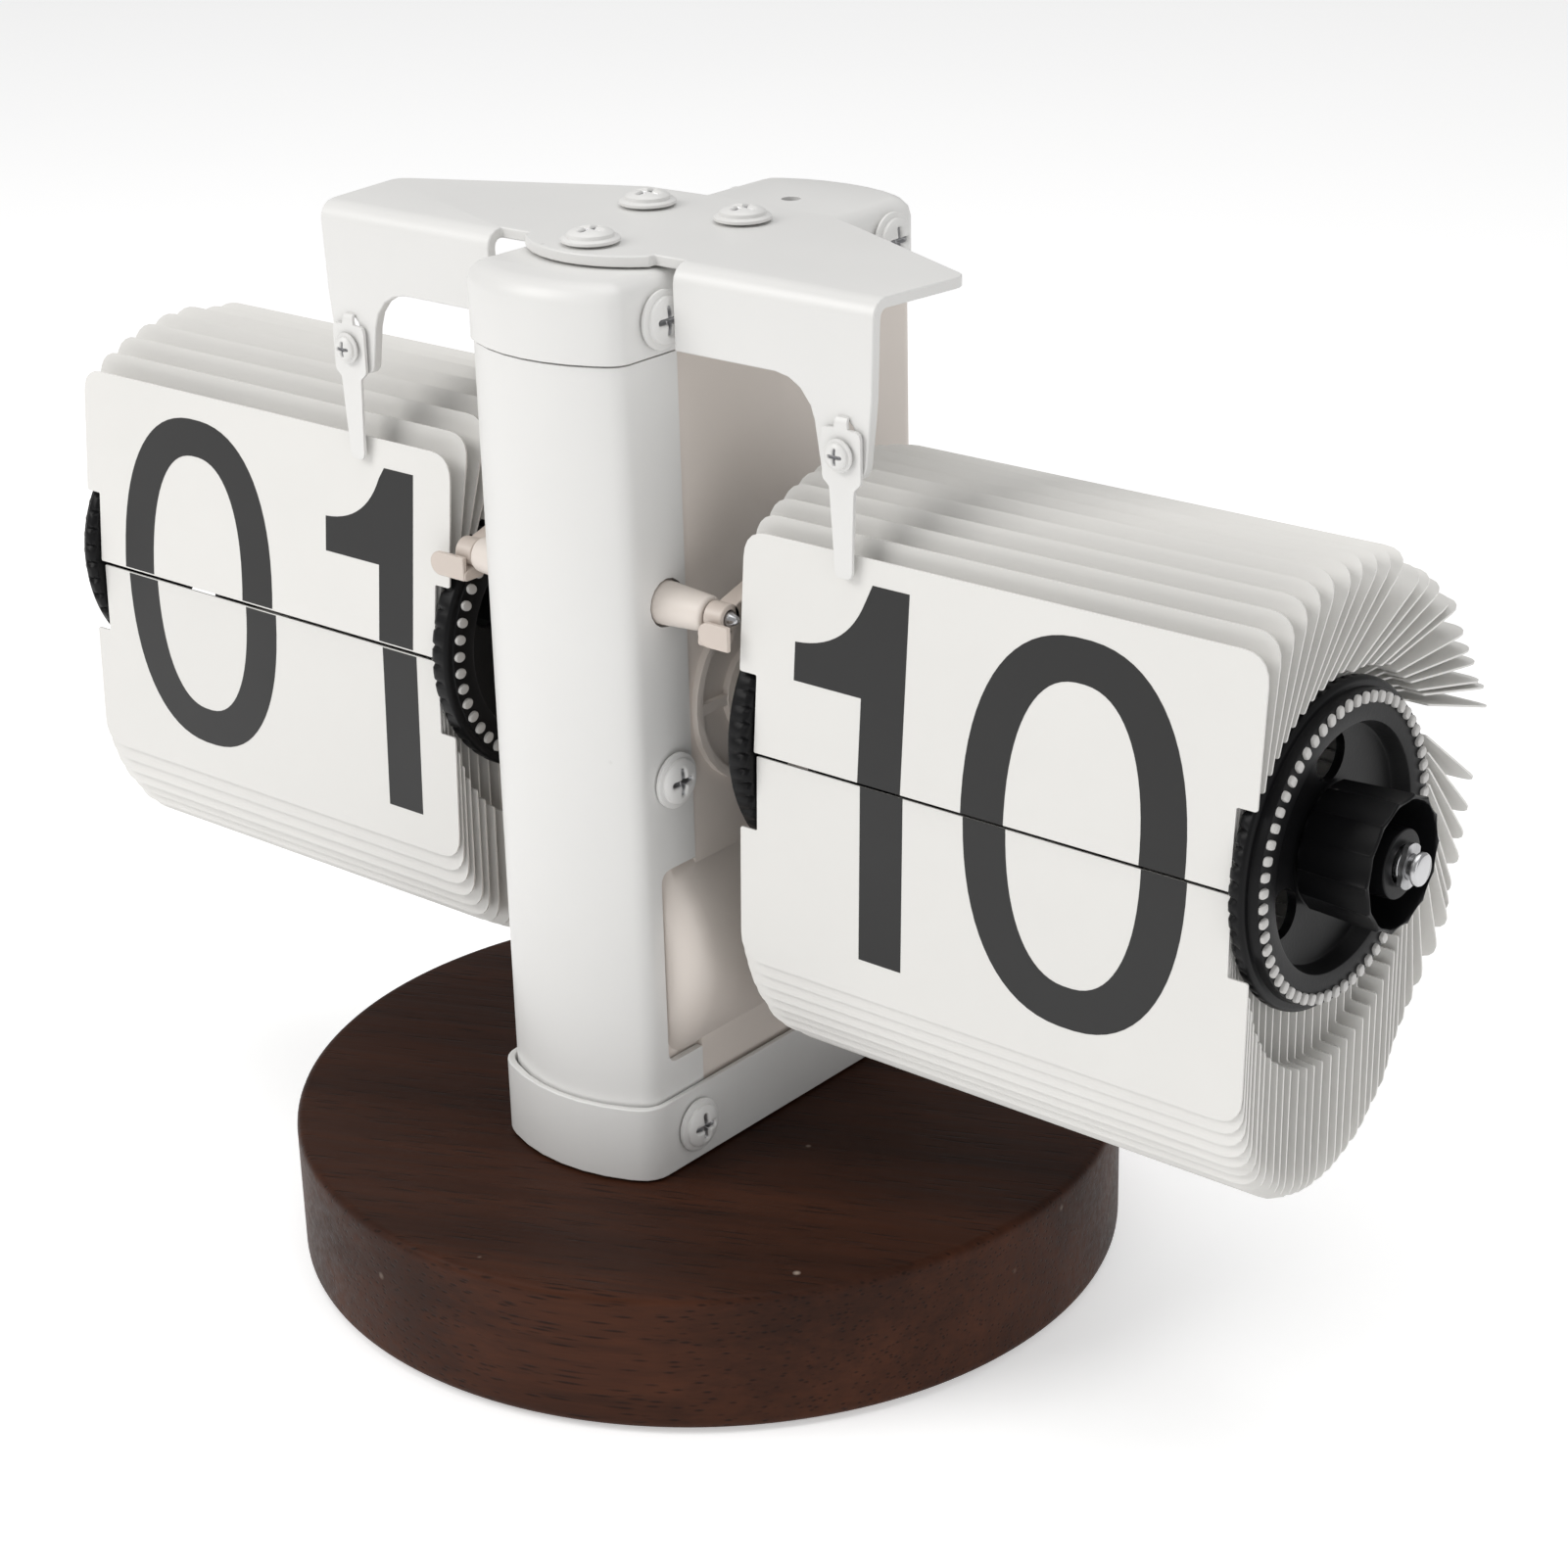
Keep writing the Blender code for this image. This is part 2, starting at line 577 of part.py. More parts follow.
def build_housing():
    """Plastic rear housing: an open-fronted wall with the battery tunnel across its foot."""
    ear_rear = COLUMN_REAR - (OUTER_HALF - INNER_HALF)
    housing = u_wall("rear_housing", INNER_HALF, COLUMN_FRONT + 1.3 * MM, ear_rear, HOUSING_WALL,
                     COLUMN_FOOT, CAP_TOP - CAP_WALL - MM)
    skin = u_wall("housing_skin", OUTER_HALF, SHELL_REAR + GAP, COLUMN_REAR, HOUSING_WALL,
                  COLUMN_FOOT, CAP_SEAM - GAP)
    nose = TUNNEL_NOSE
    front = BATTERY_FRONT - nose
    corner = bow((TUNNEL_RADIUS, -front - nose), (TUNNEL_RADIUS - nose, -front), 0.293 * nose, 5)
    profile = [(0.0, -front)] + corner[::-1] + [(TUNNEL_RADIUS, -TUNNEL_REAR), (0.0, -TUNNEL_REAR)]
    tunnel = turned("battery_tunnel", profile, ALONG_MINUS_Y, (0.0, 0.0, BATTERY_Z), 36)
    seat = -BATTERY_FRONT + GAP
    room = [(0.0, seat + SPRING_ROOM), (12.5 * MM, seat + SPRING_ROOM), (12.5 * MM, seat),
            (TUNNEL_BORE, seat), (TUNNEL_BORE, -TUNNEL_REAR - MM), (0.0, -TUNNEL_REAR - MM)]
    bore = turned("battery_bore", room, ALONG_MINUS_Y, (0.0, 0.0, BATTERY_Z), 36)
    join(housing, skin, tunnel, *bearing_boss(1), *bearing_boss(-1))
    cut(housing, bore)
    cut(housing, side_drill("bush_hole", AXLE, BUSH_RADIUS + GAP), solver="MANIFOLD")
    for name, spot in (("boot", BOOT_SCREW), ("shell", SHELL_SCREW), ("cap", CAP_SCREW),
                       ("rear", REAR_SCREW)):
        cut(housing, side_drill(f"housing_{name}_hole", spot, SCREW_HOLE), solver="MANIFOLD")
    finish(housing, PLASTIC)


def build_cap():
    """Cap over the column, with rounded top edges."""
    extra = 2 * CAP_EDGE
    outline = [column_outline(CAP_PROUD)]
    cap = slab("top_cap", outline, CAP_SEAM - extra, CAP_TOP, edge=CAP_EDGE)
    reach = 60.0 * MM
    below = block("cap_trim", (-reach, -reach, CAP_SEAM - 2 * extra), (reach, reach, CAP_SEAM))
    hollow = slab("cap_hollow", [column_outline(CAP_PROUD - CAP_WALL)], CAP_SEAM - MM, CAP_TOP - CAP_WALL)
    cut(cap, below, hollow, side_drill("cap_screw_hole", CAP_SCREW, SCREW_HOLE),
        side_drill("cap_rear_hole", REAR_SCREW, SCREW_HOLE))
    for side, (x, y) in TOP_SCREWS.items():
        cut(cap, drill(f"cap_{side}_hole", SCREW_HOLE, CAP_SEAM, CAP_TOP + MM, UPRIGHT, (x, y, 0.0)))
    cut(cap, drill("cap_rear_vent", 1.3 * MM, CAP_SEAM, CAP_TOP + MM, UPRIGHT, (0.0, CAP_HOLE_Y, 0.0)))
    finish(cap, PAINT)


# ---------------------------------------------------------------- bracket and reeds

def bracket_section():
    """The bent sheet seen along X: flat top, round bend, front flange."""
    inner = BEND - SHEET
    centre = (FLANGE_FRONT + BEND, PLATE_TOP - BEND)
    outer_arc = [on_circle(centre, BEND, a) for a in (90, 112, 135, 158, 180)]
    inner_arc = [on_circle(centre, inner, a) for a in (180, 150, 120, 90)]
    rear = 20.0 * MM
    foot = LEG_LOW - MM
    return ([(rear, PLATE_TOP)] + outer_arc + [(FLANGE_FRONT, foot), (FLANGE_FRONT + SHEET, foot)]
            + inner_arc + [(rear, PLATE_TOP - SHEET)])


def both_sides(half):
    """A closed outline from its right half, which starts and ends on the middle line."""
    return half + [(-x, y) for x, y in half[::-1] if x > 0]


def arm_plan():
    """Both arms seen from above."""
    front = FLANGE_FRONT - MM
    points = [(0.0, front), (ARM_END, front), (ARM_END, FLANGE_FRONT + BEND), (ARM_TIP, ARM_TIP_Y),
              (20.3 * MM, 9.8 * MM), (FLANGE_INNER, 11.9 * MM), (0.0, 12.6 * MM)]
    return both_sides(rounded(points, {3: 2.2 * MM}, closed=False))


def leg_front():
    """Both flanges and legs seen from the front, with the plate above them."""
    inner, outer = LEG_X - LEG_HALF, LEG_X + LEG_HALF
    top = PLATE_TOP + MM
    points = [(0.0, FLANGE_LOW), (inner - 1.8 * MM, FLANGE_LOW), (inner, LEG_LOW),
              (outer - 0.6 * MM, LEG_LOW), (outer + 0.6 * MM, PLATE_TOP - 12 * MM),
              (ARM_END, PLATE_TOP - BEND), (ARM_TIP + MM, PLATE_TOP - BEND), (ARM_TIP + MM, top), (0.0, top)]
    return both_sides(rounded(points, {1: 6.0 * MM, 2: 1.5 * MM, 3: 2.4 * MM}, closed=False))


def build_bracket():
    """Bent steel bracket: a plate on the cap and an arm to each side with a leg for its reed."""
    reach = ARM_TIP + MM
    arms = slab("top_bracket", [bracket_section()], -reach, reach, SIDE_VIEW)
    boolean(arms, slab("arm_plan", [arm_plan()], LEG_LOW - 2 * MM, PLATE_TOP + MM), "INTERSECT")
    deep = 30.0 * MM
    boolean(arms, slab("leg_front", [leg_front()], -deep, deep, ALONG_MINUS_Y), "INTERSECT")
    flat = FLANGE_FRONT + BEND + 0.2 * MM
    cut(arms, block("flange_relief", (-FLANGE_INNER, -deep, FLANGE_LOW - MM),
                    (FLANGE_INNER, flat, PLATE_TOP + MM)))
    tab_half, tab_rise = 10.4 * MM, 4.2 * MM
    tab = bow((-tab_half, flat - MM), (tab_half, flat - MM), tab_rise, 10)
    plan = tab + [(tab_half, flat + 2 * MM), (-tab_half, flat + 2 * MM)]
    join(arms, slab("bracket_tab", [plan], PLATE_TOP - SHEET, PLATE_TOP))
    for side, (x, y) in TOP_SCREWS.items():
        cut(arms, drill(f"bracket_{side}_hole", SCREW_HOLE, CAP_TOP, PLATE_TOP + MM, UPRIGHT, (x, y, 0.0)))
    radius = SMALL_SHANK + 2 * GAP
    low, high = REED_SCREW_Z - REED_ADJUST, REED_SCREW_Z + REED_ADJUST + 1.4 * MM
    for name, x in (("left", -LEG_X), ("right", LEG_X)):
        slot = [on_circle((x, high), radius, a) for a in range(0, 181, 30)]
        slot += [on_circle((x, low), radius, a) for a in range(180, 361, 30)]
        cut(arms, slab(f"reed_slot_{name}", [slot], 10 * MM, 25 * MM, ALONG_MINUS_Y))
    finish(arms, PAINT)


def reed_outline(x):
    """A reed seen from the front: a head with a tab, and a finger that narrows to its tip."""
    top_card = card_tip(0, MINUTE_CARDS)[1]
    tip = top_card + REED_CLEAR
    head = REED_SCREW_Z
    half = 2.9 * MM
    points = [(x - 1.3 * MM, tip), (x + 1.3 * MM, tip), (x + 1.9 * MM, head - 3.6 * MM),
              (x + half, head - 2.6 * MM), (x + half, head + 3.4 * MM), (x + 1.0 * MM, head + 3.4 * MM),
              (x + 0.8 * MM, head + 4.6 * MM), (x - 0.8 * MM, head + 4.6 * MM),
              (x - 1.0 * MM, head + 3.4 * MM), (x - half, head + 3.4 * MM), (x - half, head - 2.6 * MM),
              (x - 1.9 * MM, head - 3.6 * MM)]
    return rounded(points, {0: 0.6 * MM, 1: 0.6 * MM, 4: 0.8 * MM, 9: 0.8 * MM}, 2)


def build_reeds():
    """A reed on each leg holds back the upper cards; its screw rides in the slot with it."""
    for name, x in (("left", -LEG_X), ("right", LEG_X)):
        front = FLANGE_FRONT - GAP - REED_THICK
        hole = circle(SMALL_SHANK + GAP, 12, (x, REED_SCREW_Z))
        finish(slab(f"reed_{name}", [reed_outline(x), hole], -front - REED_THICK, -front,
                    ALONG_MINUS_Y), PAINT, smooth=False)
        screw(f"reed_screw_{name}", x, front - GAP, REED_SCREW_Z, ALONG_MINUS_Y, 4.2 * MM,
              SMALL_SCREW, 0.85 * SMALL_SCREW, SMALL_SHANK, 1.2 * MM)


# ---------------------------------------------------------------- card catches

def build_catches():
    """Beside each drum: a post, a pointed pin in it and a leaf that turns on the pin."""
    for name, side in (("left", -1), ("right", 1)):
        turn = ALONG_X if side > 0 else ALONG_MINUS_X
        spot = (0.0, CATCH_Y, CATCH_Z)
        bore = PIN_RADIUS + GAP
        start = INNER_HALF + GAP
        post = [(POST_RADIUS - 0.4 * MM, POST_END), (POST_RADIUS, POST_END - 0.5 * MM),
                (POST_RADIUS, start), (bore, start), (bore, POST_END)]
        finish(turned(f"catch_post_{name}", post, turn, spot, 20, ring=True), PLASTIC)
        pin = [(0.0, PIN_END), (PIN_RADIUS, PIN_END - 1.4 * MM), (PIN_RADIUS, start), (0.0, start)]
        finish(turned(f"catch_pin_{name}", pin, turn, spot, 16), STEEL)
        near, far = POST_END + GAP, PIN_END - 1.5 * MM
        hub = [(1.9 * MM, far), (1.9 * MM, near), (PIN_RADIUS + RUNNING, near),
               (PIN_RADIUS + RUNNING, far)]
        leaf = turned(f"card_catch_{name}", hub, turn, spot, 20, ring=True)
        across = sorted((side * near, side * far))
        tongue = sorted((side * near, side * (CARD_INNER - GAP)))
        front = CATCH_Y - POST_RADIUS - 0.1 * MM
        low = CATCH_Z - 3.2 * MM
        stem = block(f"catch_stem_{name}", (across[0], front, low),
                     (across[1], CATCH_Y + 0.6 * MM, CATCH_Z - 1.2 * MM))
        bar = block(f"catch_tongue_{name}", (tongue[0], front, low),
                    (tongue[1], front + 0.7 * MM, low + 3.3 * MM))
        tail = block(f"catch_tail_{name}", (across[0], CATCH_Y + 1.4 * MM, CATCH_Z - 0.5 * MM),
                     (across[1], CATCH_Y + 6.5 * MM, CATCH_Z + 1.1 * MM))
        finish(join(leaf, stem, bar, tail), LEAF, smooth=False)


# ---------------------------------------------------------------- drums

BUSH_RADIUS = 3.6 * MM


def build_axle(name, side, start, end):
    """A drum's axle, thin at its inner end, with a groove for its clip near the outer end."""
    turn = ALONG_X if side > 0 else ALONG_MINUS_X
    chamfer = 0.3 * MM
    groove = end - 2.6 * MM
    inner_end = GAP / 2
    profile = [(0.0, end), (AXLE_RADIUS - chamfer, end), (AXLE_RADIUS, end - chamfer),
               (AXLE_RADIUS, groove + CLIP_THICK + 2 * GAP), (AXLE_NECK, groove + CLIP_THICK + 2 * GAP),
               (AXLE_NECK, groove), (AXLE_RADIUS, groove), (AXLE_RADIUS, start), (END_RADIUS, start),
               (END_RADIUS, inner_end), (0.0, inner_end)]
    finish(turned(f"{name}_axle", profile, turn, (0.0, *AXLE), 20), STEEL)
    opening = 40
    outer = [on_circle((0.0, 0.0), CLIP_RADIUS, a) for a in range(opening, 361 - opening, 20)]
    inner = [on_circle((0.0, 0.0), AXLE_NECK + GAP, a) for a in range(opening, 361 - opening, 20)]
    clip = slab(f"{name}_clip", [outer + inner[::-1]], groove + GAP, groove + GAP + CLIP_THICK,
                turn, (0.0, *AXLE))
    finish(clip, STEEL, smooth=False)


def wheel(name, side, near, far, rim_out):
    """A drum wheel between two |x| values; its raised ring faces away from the cards."""
    turn = ALONG_X if side > 0 else ALONG_MINUS_X
    ring, land, bore = 18.8 * MM, 15.0 * MM, AXLE_RADIUS + GAP
    web, lip = 1.1 * MM, 2.2 * MM
    if rim_out:
        profile = [(ring, far), (ring, near + lip), (WHEEL_RADIUS, near + lip), (WHEEL_RADIUS, near),
                   (bore, near), (bore, near + web), (land - 0.4 * MM, near + web), (land, far)]
    else:
        profile = [(WHEEL_RADIUS, far), (WHEEL_RADIUS, far - lip), (ring, far - lip), (ring, near),
                   (land, near), (land - 0.4 * MM, far - web), (bore, far - web), (bore, far)]
    made = turned(name, profile, turn, (0.0, *AXLE), 32, ring=True)
    for i in range(3):
        spot = on_circle(AXLE, 10.4 * MM, 90 + 120 * i)
        reach = sorted((near - MM, far + MM))
        cut(made, drill(f"{name}_window_{i + 1}", 3.0 * MM, *reach, turn, (0.0, *spot), 10))
    return finish(made, BLACK)


def build_drum(name, side):
    """Two wheels and the tube between them."""
    inner_far = CARD_INNER + NOTCH_WIDTH - GAP
    inner_near = CARD_INNER - WHEEL_FACE
    wheel(f"{name}_inner_wheel", side, inner_near, inner_far, False)
    wheel(f"{name}_outer_wheel", side, WHEEL_BACK_X, WHEEL_OUTER_X, True)
    turn = ALONG_X if side > 0 else ALONG_MINUS_X
    low, high = inner_far + GAP, WHEEL_BACK_X - GAP
    bore = DRUM_TUBE_RADIUS - DRUM_TUBE_WALL
    profile = [(DRUM_TUBE_RADIUS, high), (DRUM_TUBE_RADIUS, low), (bore, low), (bore, high)]
    finish(turned(f"{name}_drum_tube", profile, turn, (0.0, *AXLE), 24, ring=True), BLACK)


def build_bush(name, side):
    """Flanged bearing bush in the side of the housing."""
    turn = ALONG_X if side > 0 else ALONG_MINUS_X
    face = OUTER_HALF + MM + GAP
    inside = CAVITY_HALF - 0.8 * MM
    bore = AXLE_RADIUS + RUNNING
    profile = [(5.2 * MM, face + 1.0 * MM), (5.2 * MM, face), (BUSH_RADIUS, face),
               (BUSH_RADIUS, inside), (bore, inside), (bore, face + 1.0 * MM)]
    finish(turned(f"{name}_bush", profile, turn, (0.0, *AXLE), 24, ring=True), NYLON)


def build_knob():
    """Fluted cup that sets the time, with a hub on the minute axle."""
    flutes = []
    for i in range(4 * KNOB_FLUTES):
        radius = KNOB_RADIUS - (0.45 * MM if i % 4 in (0, 1) else 0.0)
        flutes.append(on_circle((0.0, 0.0), radius, 360 * i / (4 * KNOB_FLUTES)))
    bore = circle(AXLE_RADIUS + GAP, 20)
    knob = slab("setting_knob", [flutes, bore], KNOB_START, KNOB_END, ALONG_X, (0.0, *AXLE))
    floor = KNOB_START + 2.4 * MM
    cup = KNOB_RADIUS - 0.45 * MM - KNOB_WALL
    well = [(cup, KNOB_END + MM), (cup, floor), (HUB_RADIUS, floor), (HUB_RADIUS, KNOB_END + MM)]
    cut(knob, turned("knob_well", well, ALONG_X, (0.0, *AXLE), 24, ring=True))
    finish(knob, BLACK)


# ---------------------------------------------------------------- cards

def hinge_point(index, count):
    """Hinge of a card, (y, z): the card above the split has index 0 and they run over the top.

    The hinges share a circle, and the ones at the front hang a little ahead of it.
    """
    angle = 360 * (index + 0.5) / count
    y, z = on_circle(AXLE, HINGE_RADIUS, 180 - angle)
    lead = CARD_LEAD if index == 0 else 0.0
    return y - lead, z


def card_angle(angle):
    """Where a card points, in degrees from the front over the top, for its hinge's angle."""
    stops = ((0.0, 94.7), (12.0, 99.0), (60.0, 143.5), (100.0, 180.0), (128.0, 199.0),
             (133.0, 215.0), (160.0, 241.0), (196.0, 268.0), (215.0, 270.0), (360.0, 270.0))
    for (a, first), (b, last) in zip(stops, stops[1:]):
        if angle <= b:
            return first + (last - first) * (angle - a) / (b - a)
    return stops[-1][1]


def card_tip(index, count):
    """Free edge of a card, (y, z)."""
    lean = 90 + CARD_LEAN if index == 0 else card_angle(360 * (index + 0.5) / count)
    return on_circle(hinge_point(index, count), CARD_HEIGHT, 180 - lean)


def card_outline(inner, outer):
    """A card lying flat, from its heel up: notched at both ends of the hinge line."""
    near, far = inner + NOTCH_WIDTH, outer - NOTCH_WIDTH
    points = [(near, -CARD_HEEL), (far, -CARD_HEEL), (far, NOTCH_HEIGHT), (outer, NOTCH_HEIGHT),
              (outer, CARD_HEIGHT), (inner, CARD_HEIGHT), (inner, NOTCH_HEIGHT), (near, NOTCH_HEIGHT)]
    return rounded(points, {4: CARD_CORNER, 5: CARD_CORNER})


def build_upper_card(name, side, count):
    """The front upper card; its origin is on its hinge."""
    half = CARD_WIDTH / 2
    y, z = hinge_point(0, count)
    turn = Matrix.Rotation(math.radians(90 - CARD_LEAN), 4, "X")
    middle = side * (CARD_INNER + half)
    card = slab(f"{name}_upper_card", [card_outline(-half, half)], -CARD_THICK / 2, CARD_THICK / 2,
                turn, (middle, y, z))
    finish(card, CARD, smooth=False)


def card_pack(name, side, count, first, last):
    """Cards first to last as one solid: its rim has a corner at each card's free edge."""
    hinges = [hinge_point(i, count) for i in range(first, last + 1)]
    tips = [card_tip(i, count) for i in range(first, last + 1)]
    ends = [side * CARD_INNER, side * (CARD_INNER + CARD_WIDTH)]
    pack = slab(name, [tips + hinges[::-1]], min(ends), max(ends), SIDE_VIEW)
    turn = ALONG_X if side > 0 else ALONG_MINUS_X
    clear = WHEEL_RADIUS + 2 * GAP
    edge = CARD_INNER + NOTCH_WIDTH
    inner = drill(f"{name}_inner_notch", clear, CARD_INNER - MM, edge, turn, (0.0, *AXLE), 40)
    edge = CARD_INNER + CARD_WIDTH
    outer = drill(f"{name}_outer_notch", clear, edge - NOTCH_WIDTH, edge + MM, turn, (0.0, *AXLE), 40)
    cut(pack, inner, outer, solver="MANIFOLD")
    finish(pack, CARD, smooth=False)


def build_cards(name, side, count):
    """Front upper card, the cards waiting above and the cards that have fallen."""
    build_upper_card(name, side, count)
    parting = round(130.5 / 360 * count)
    card_pack(f"{name}_cards_waiting", side, count, 1, parting - 1)
    card_pack(f"{name}_cards_fallen", side, count, parting, count - 1)


# ---------------------------------------------------------------- movement

def module(distance, pinion, gear):
    """Tooth module of two gears at a shaft distance."""
    return 2 * distance / (pinion + gear)


def gear(name, layers, centre, material, bore=0.0):
    """Gears on one shaft, joined; each layer is (x, width, teeth, module, pinion, turn)."""
    made = None
    for i, (x, width, teeth, size, pinion, turn) in enumerate(layers):
        outline = gear_outline(teeth, size, pinion, math.radians(turn))
        holes = [circle(bore, 16)] if bore else []
        layer = slab(name if made is None else f"{name}_layer_{i}", [outline] + holes, x, x + width,
                     SIDE_VIEW, (0.0, *centre))
        made = layer if made is None else join(made, layer)
    return finish(made, material, smooth=False)


def build_gears():
    """Motor pinion, minute gear, idler and hour gear; all teeth mesh as drawn."""
    motor_module = module(MOTOR_DISTANCE, MOTOR_TEETH, MINUTE_TEETH)
    idler_module = module(IDLER_DISTANCE, MINUTE_PINION_TEETH, IDLER_TEETH)
    hour_module = module(IDLER_DISTANCE, IDLER_PINION_TEETH, HOUR_TEETH)
    x, width = MINUTE_GEAR_X, GEAR_WIDTH
    toward_motor = MOTOR_ANGLE + 180 / MINUTE_TEETH
    bore = AXLE_RADIUS + GAP
    minute = gear("minute_gear", [(x, width, MINUTE_TEETH, motor_module, False, toward_motor)], AXLE,
                  NYLON, bore)
    stem_low = IDLER_GEAR_X - 0.2 * MM
    pinion = gear_outline(MINUTE_PINION_TEETH, idler_module, True, math.radians(IDLER_ANGLE))
    join(minute, slab("minute_pinion", [pinion, circle(END_RADIUS + GAP, 16)], stem_low, x + PINION_STEM,
                      SIDE_VIEW, (0.0, *AXLE)))
    back = IDLER_ANGLE + 180
    idler = gear("idler_gear", [
        (IDLER_GEAR_X, width, IDLER_TEETH, idler_module, False, back + 180 / IDLER_TEETH)], IDLER, NYLON)
    hour_pinion = gear_outline(IDLER_PINION_TEETH, hour_module, True, math.radians(back))
    join(idler, slab("idler_pinion", [hour_pinion], HOUR_GEAR_X - 0.2 * MM, -PLATE_THICK, SIDE_VIEW,
                     (0.0, *IDLER)),
         rod("idler_shaft", SHAFT_RADIUS, -CAVITY_HALF + MM, CAVITY_HALF - MM, ALONG_X, (0.0, *IDLER), 12))
    gear("hour_gear", [(HOUR_GEAR_X, width, HOUR_TEETH, hour_module, False,
                        IDLER_ANGLE + 180 / HOUR_TEETH)], AXLE, NYLON, bore)
    shaft = rod("motor_pinion", SHAFT_RADIUS, CASE_RIGHT + GAP, x + width + MM, ALONG_X,
                (0.0, *MOTOR), 12)
    teeth = gear_outline(MOTOR_TEETH, motor_module, True, math.radians(MOTOR_ANGLE + 180))
    join(shaft, slab("motor_teeth", [teeth], x, x + width, SIDE_VIEW, (0.0, *MOTOR)))
    finish(shaft, NYLON, smooth=False)


CASE_RIGHT = 1.6 * MM
CASE_LEFT = -8.6 * MM
CASE_FRONT = 14.3 * MM


def build_movement():
    """Quartz movement case and the plate that carries the inner ends of the shafts."""
    case = block("movement_case", (CASE_LEFT, CASE_FRONT, AXLE_Z - 15.4 * MM),
                 (CASE_RIGHT, COLUMN_REAR - 3.0 * MM, AXLE_Z + 9.0 * MM))
    edge = case.modifiers.new("edge", "BEVEL")
    edge.width = 0.8 * MM
    edge.segments = 1
    finish(case, BLACK, smooth=False)
    half = PLATE_THICK / 2
    low = BATTERY_Z + TUNNEL_RADIUS + GAP
    outline = rounded([(-20.5 * MM, low), (CASE_FRONT - GAP, low), (CASE_FRONT - GAP, 116.0 * MM),
                       (-20.5 * MM, 116.0 * MM)], {i: 2.0 * MM for i in range(4)})
    holes = [circle(END_RADIUS + RUNNING, 16, AXLE), circle(SHAFT_RADIUS + RUNNING, 16, IDLER)]
    finish(slab("gear_plate", [outline] + holes, -half, half, SIDE_VIEW), STEEL, smooth=False)


# ---------------------------------------------------------------- battery

def build_battery():
    """D cell, its coil contact, and the cover that pulls off the rear of the tunnel."""
    front, rear = -BATTERY_FRONT, -BATTERY_REAR
    nub = 1.5 * MM
    profile = [(0.0, front), (BATTERY_RADIUS - MM, front), (BATTERY_RADIUS, front - MM),
               (BATTERY_RADIUS, rear + nub + MM), (BATTERY_RADIUS - MM, rear + nub),
               (4.7 * MM, rear + nub), (4.7 * MM, rear), (0.0, rear)]
    spot = (0.0, 0.0, BATTERY_Z)
    finish(turned("battery", profile, ALONG_MINUS_Y, spot, 30), JACKET)
    plug = TUNNEL_BORE - GAP
    inside = -BATTERY_REAR - 0.8 * MM
    lid = -TUNNEL_REAR - GAP
    back = lid - 1.6 * MM
    rim = plug - 1.2 * MM
    cover = [(plug, lid + 0.2 * MM), (TUNNEL_RADIUS, lid), (TUNNEL_RADIUS, back + 0.6 * MM),
             (TUNNEL_RADIUS - 0.6 * MM, back), (0.0, back)]
    top = [(0.0, lid), (rim, lid), (rim, lid + 1.6 * MM), (plug, lid + 1.6 * MM)]
    finish(turned("battery_cover", top + cover, ALONG_MINUS_Y, spot, 30), PLASTIC)
    contact = [(0.0, inside), (5.0 * MM, inside), (5.0 * MM, lid + GAP), (0.0, lid + GAP)]
    finish(turned("contact_plate", contact, ALONG_MINUS_Y, spot, 16), STEEL)
    curve = bpy.data.curves.new("contact_spring", "CURVE")
    curve.dimensions = "3D"
    curve.bevel_depth = 0.4 * MM
    curve.bevel_resolution = 2
    curve.use_fill_caps = True
    spline = curve.splines.new("POLY")
    turns, steps = 2, 12
    spline.points.add(turns * steps)
    near, far = -BATTERY_FRONT + 0.7 * MM, -BATTERY_FRONT + 1.9 * MM
    for i, point in enumerate(spline.points):
        share = i / (turns * steps)
        y, z = on_circle((0.0, BATTERY_Z), (4.0 + 5.0 * share) * MM, 360 * turns * share)
        point.co = (y, -(near + (far - near) * share), z, 1.0)
    spring = add_object("contact_spring", curve, PARTS)
    spring.data.materials.append(STEEL)


build_base()
build_boot()
build_shell()
build_housing()
build_cap()
build_bracket()
build_reeds()
build_screws()
build_catches()
build_axle("minute", 1, MINUTE_SHOULDER, AXLE_END)
build_axle("hour", -1, HOUR_SHOULDER, HOUR_AXLE_END)
for drum, way, cards in (("minute", 1, MINUTE_CARDS), ("hour", -1, HOUR_CARDS)):
    build_drum(drum, way)
    build_bush(drum, way)
    build_cards(drum, way, cards)
build_knob()
build_gears()
build_movement()
build_battery()
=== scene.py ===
import math

import bmesh
import bpy
import numpy as np
from mathutils import Matrix, Vector


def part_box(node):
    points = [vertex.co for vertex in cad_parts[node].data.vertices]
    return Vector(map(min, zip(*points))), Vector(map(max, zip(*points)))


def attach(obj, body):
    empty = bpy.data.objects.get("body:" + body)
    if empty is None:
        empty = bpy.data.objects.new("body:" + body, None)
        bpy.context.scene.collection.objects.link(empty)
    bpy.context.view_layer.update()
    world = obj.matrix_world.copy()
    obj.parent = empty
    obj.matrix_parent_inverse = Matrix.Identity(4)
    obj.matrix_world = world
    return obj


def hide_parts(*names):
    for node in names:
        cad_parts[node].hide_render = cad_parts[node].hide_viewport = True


bl_info = {
    "name": "Flip clock",
    "version": (1, 0, 0),
    "blender": (4, 5, 0),
    "location": "3D View > Sidebar > Flip clock",
    "description": "Builds the cards, drums, sheet metal and stage of a desk flip clock around its frame",
    "category": "Add Mesh",
}

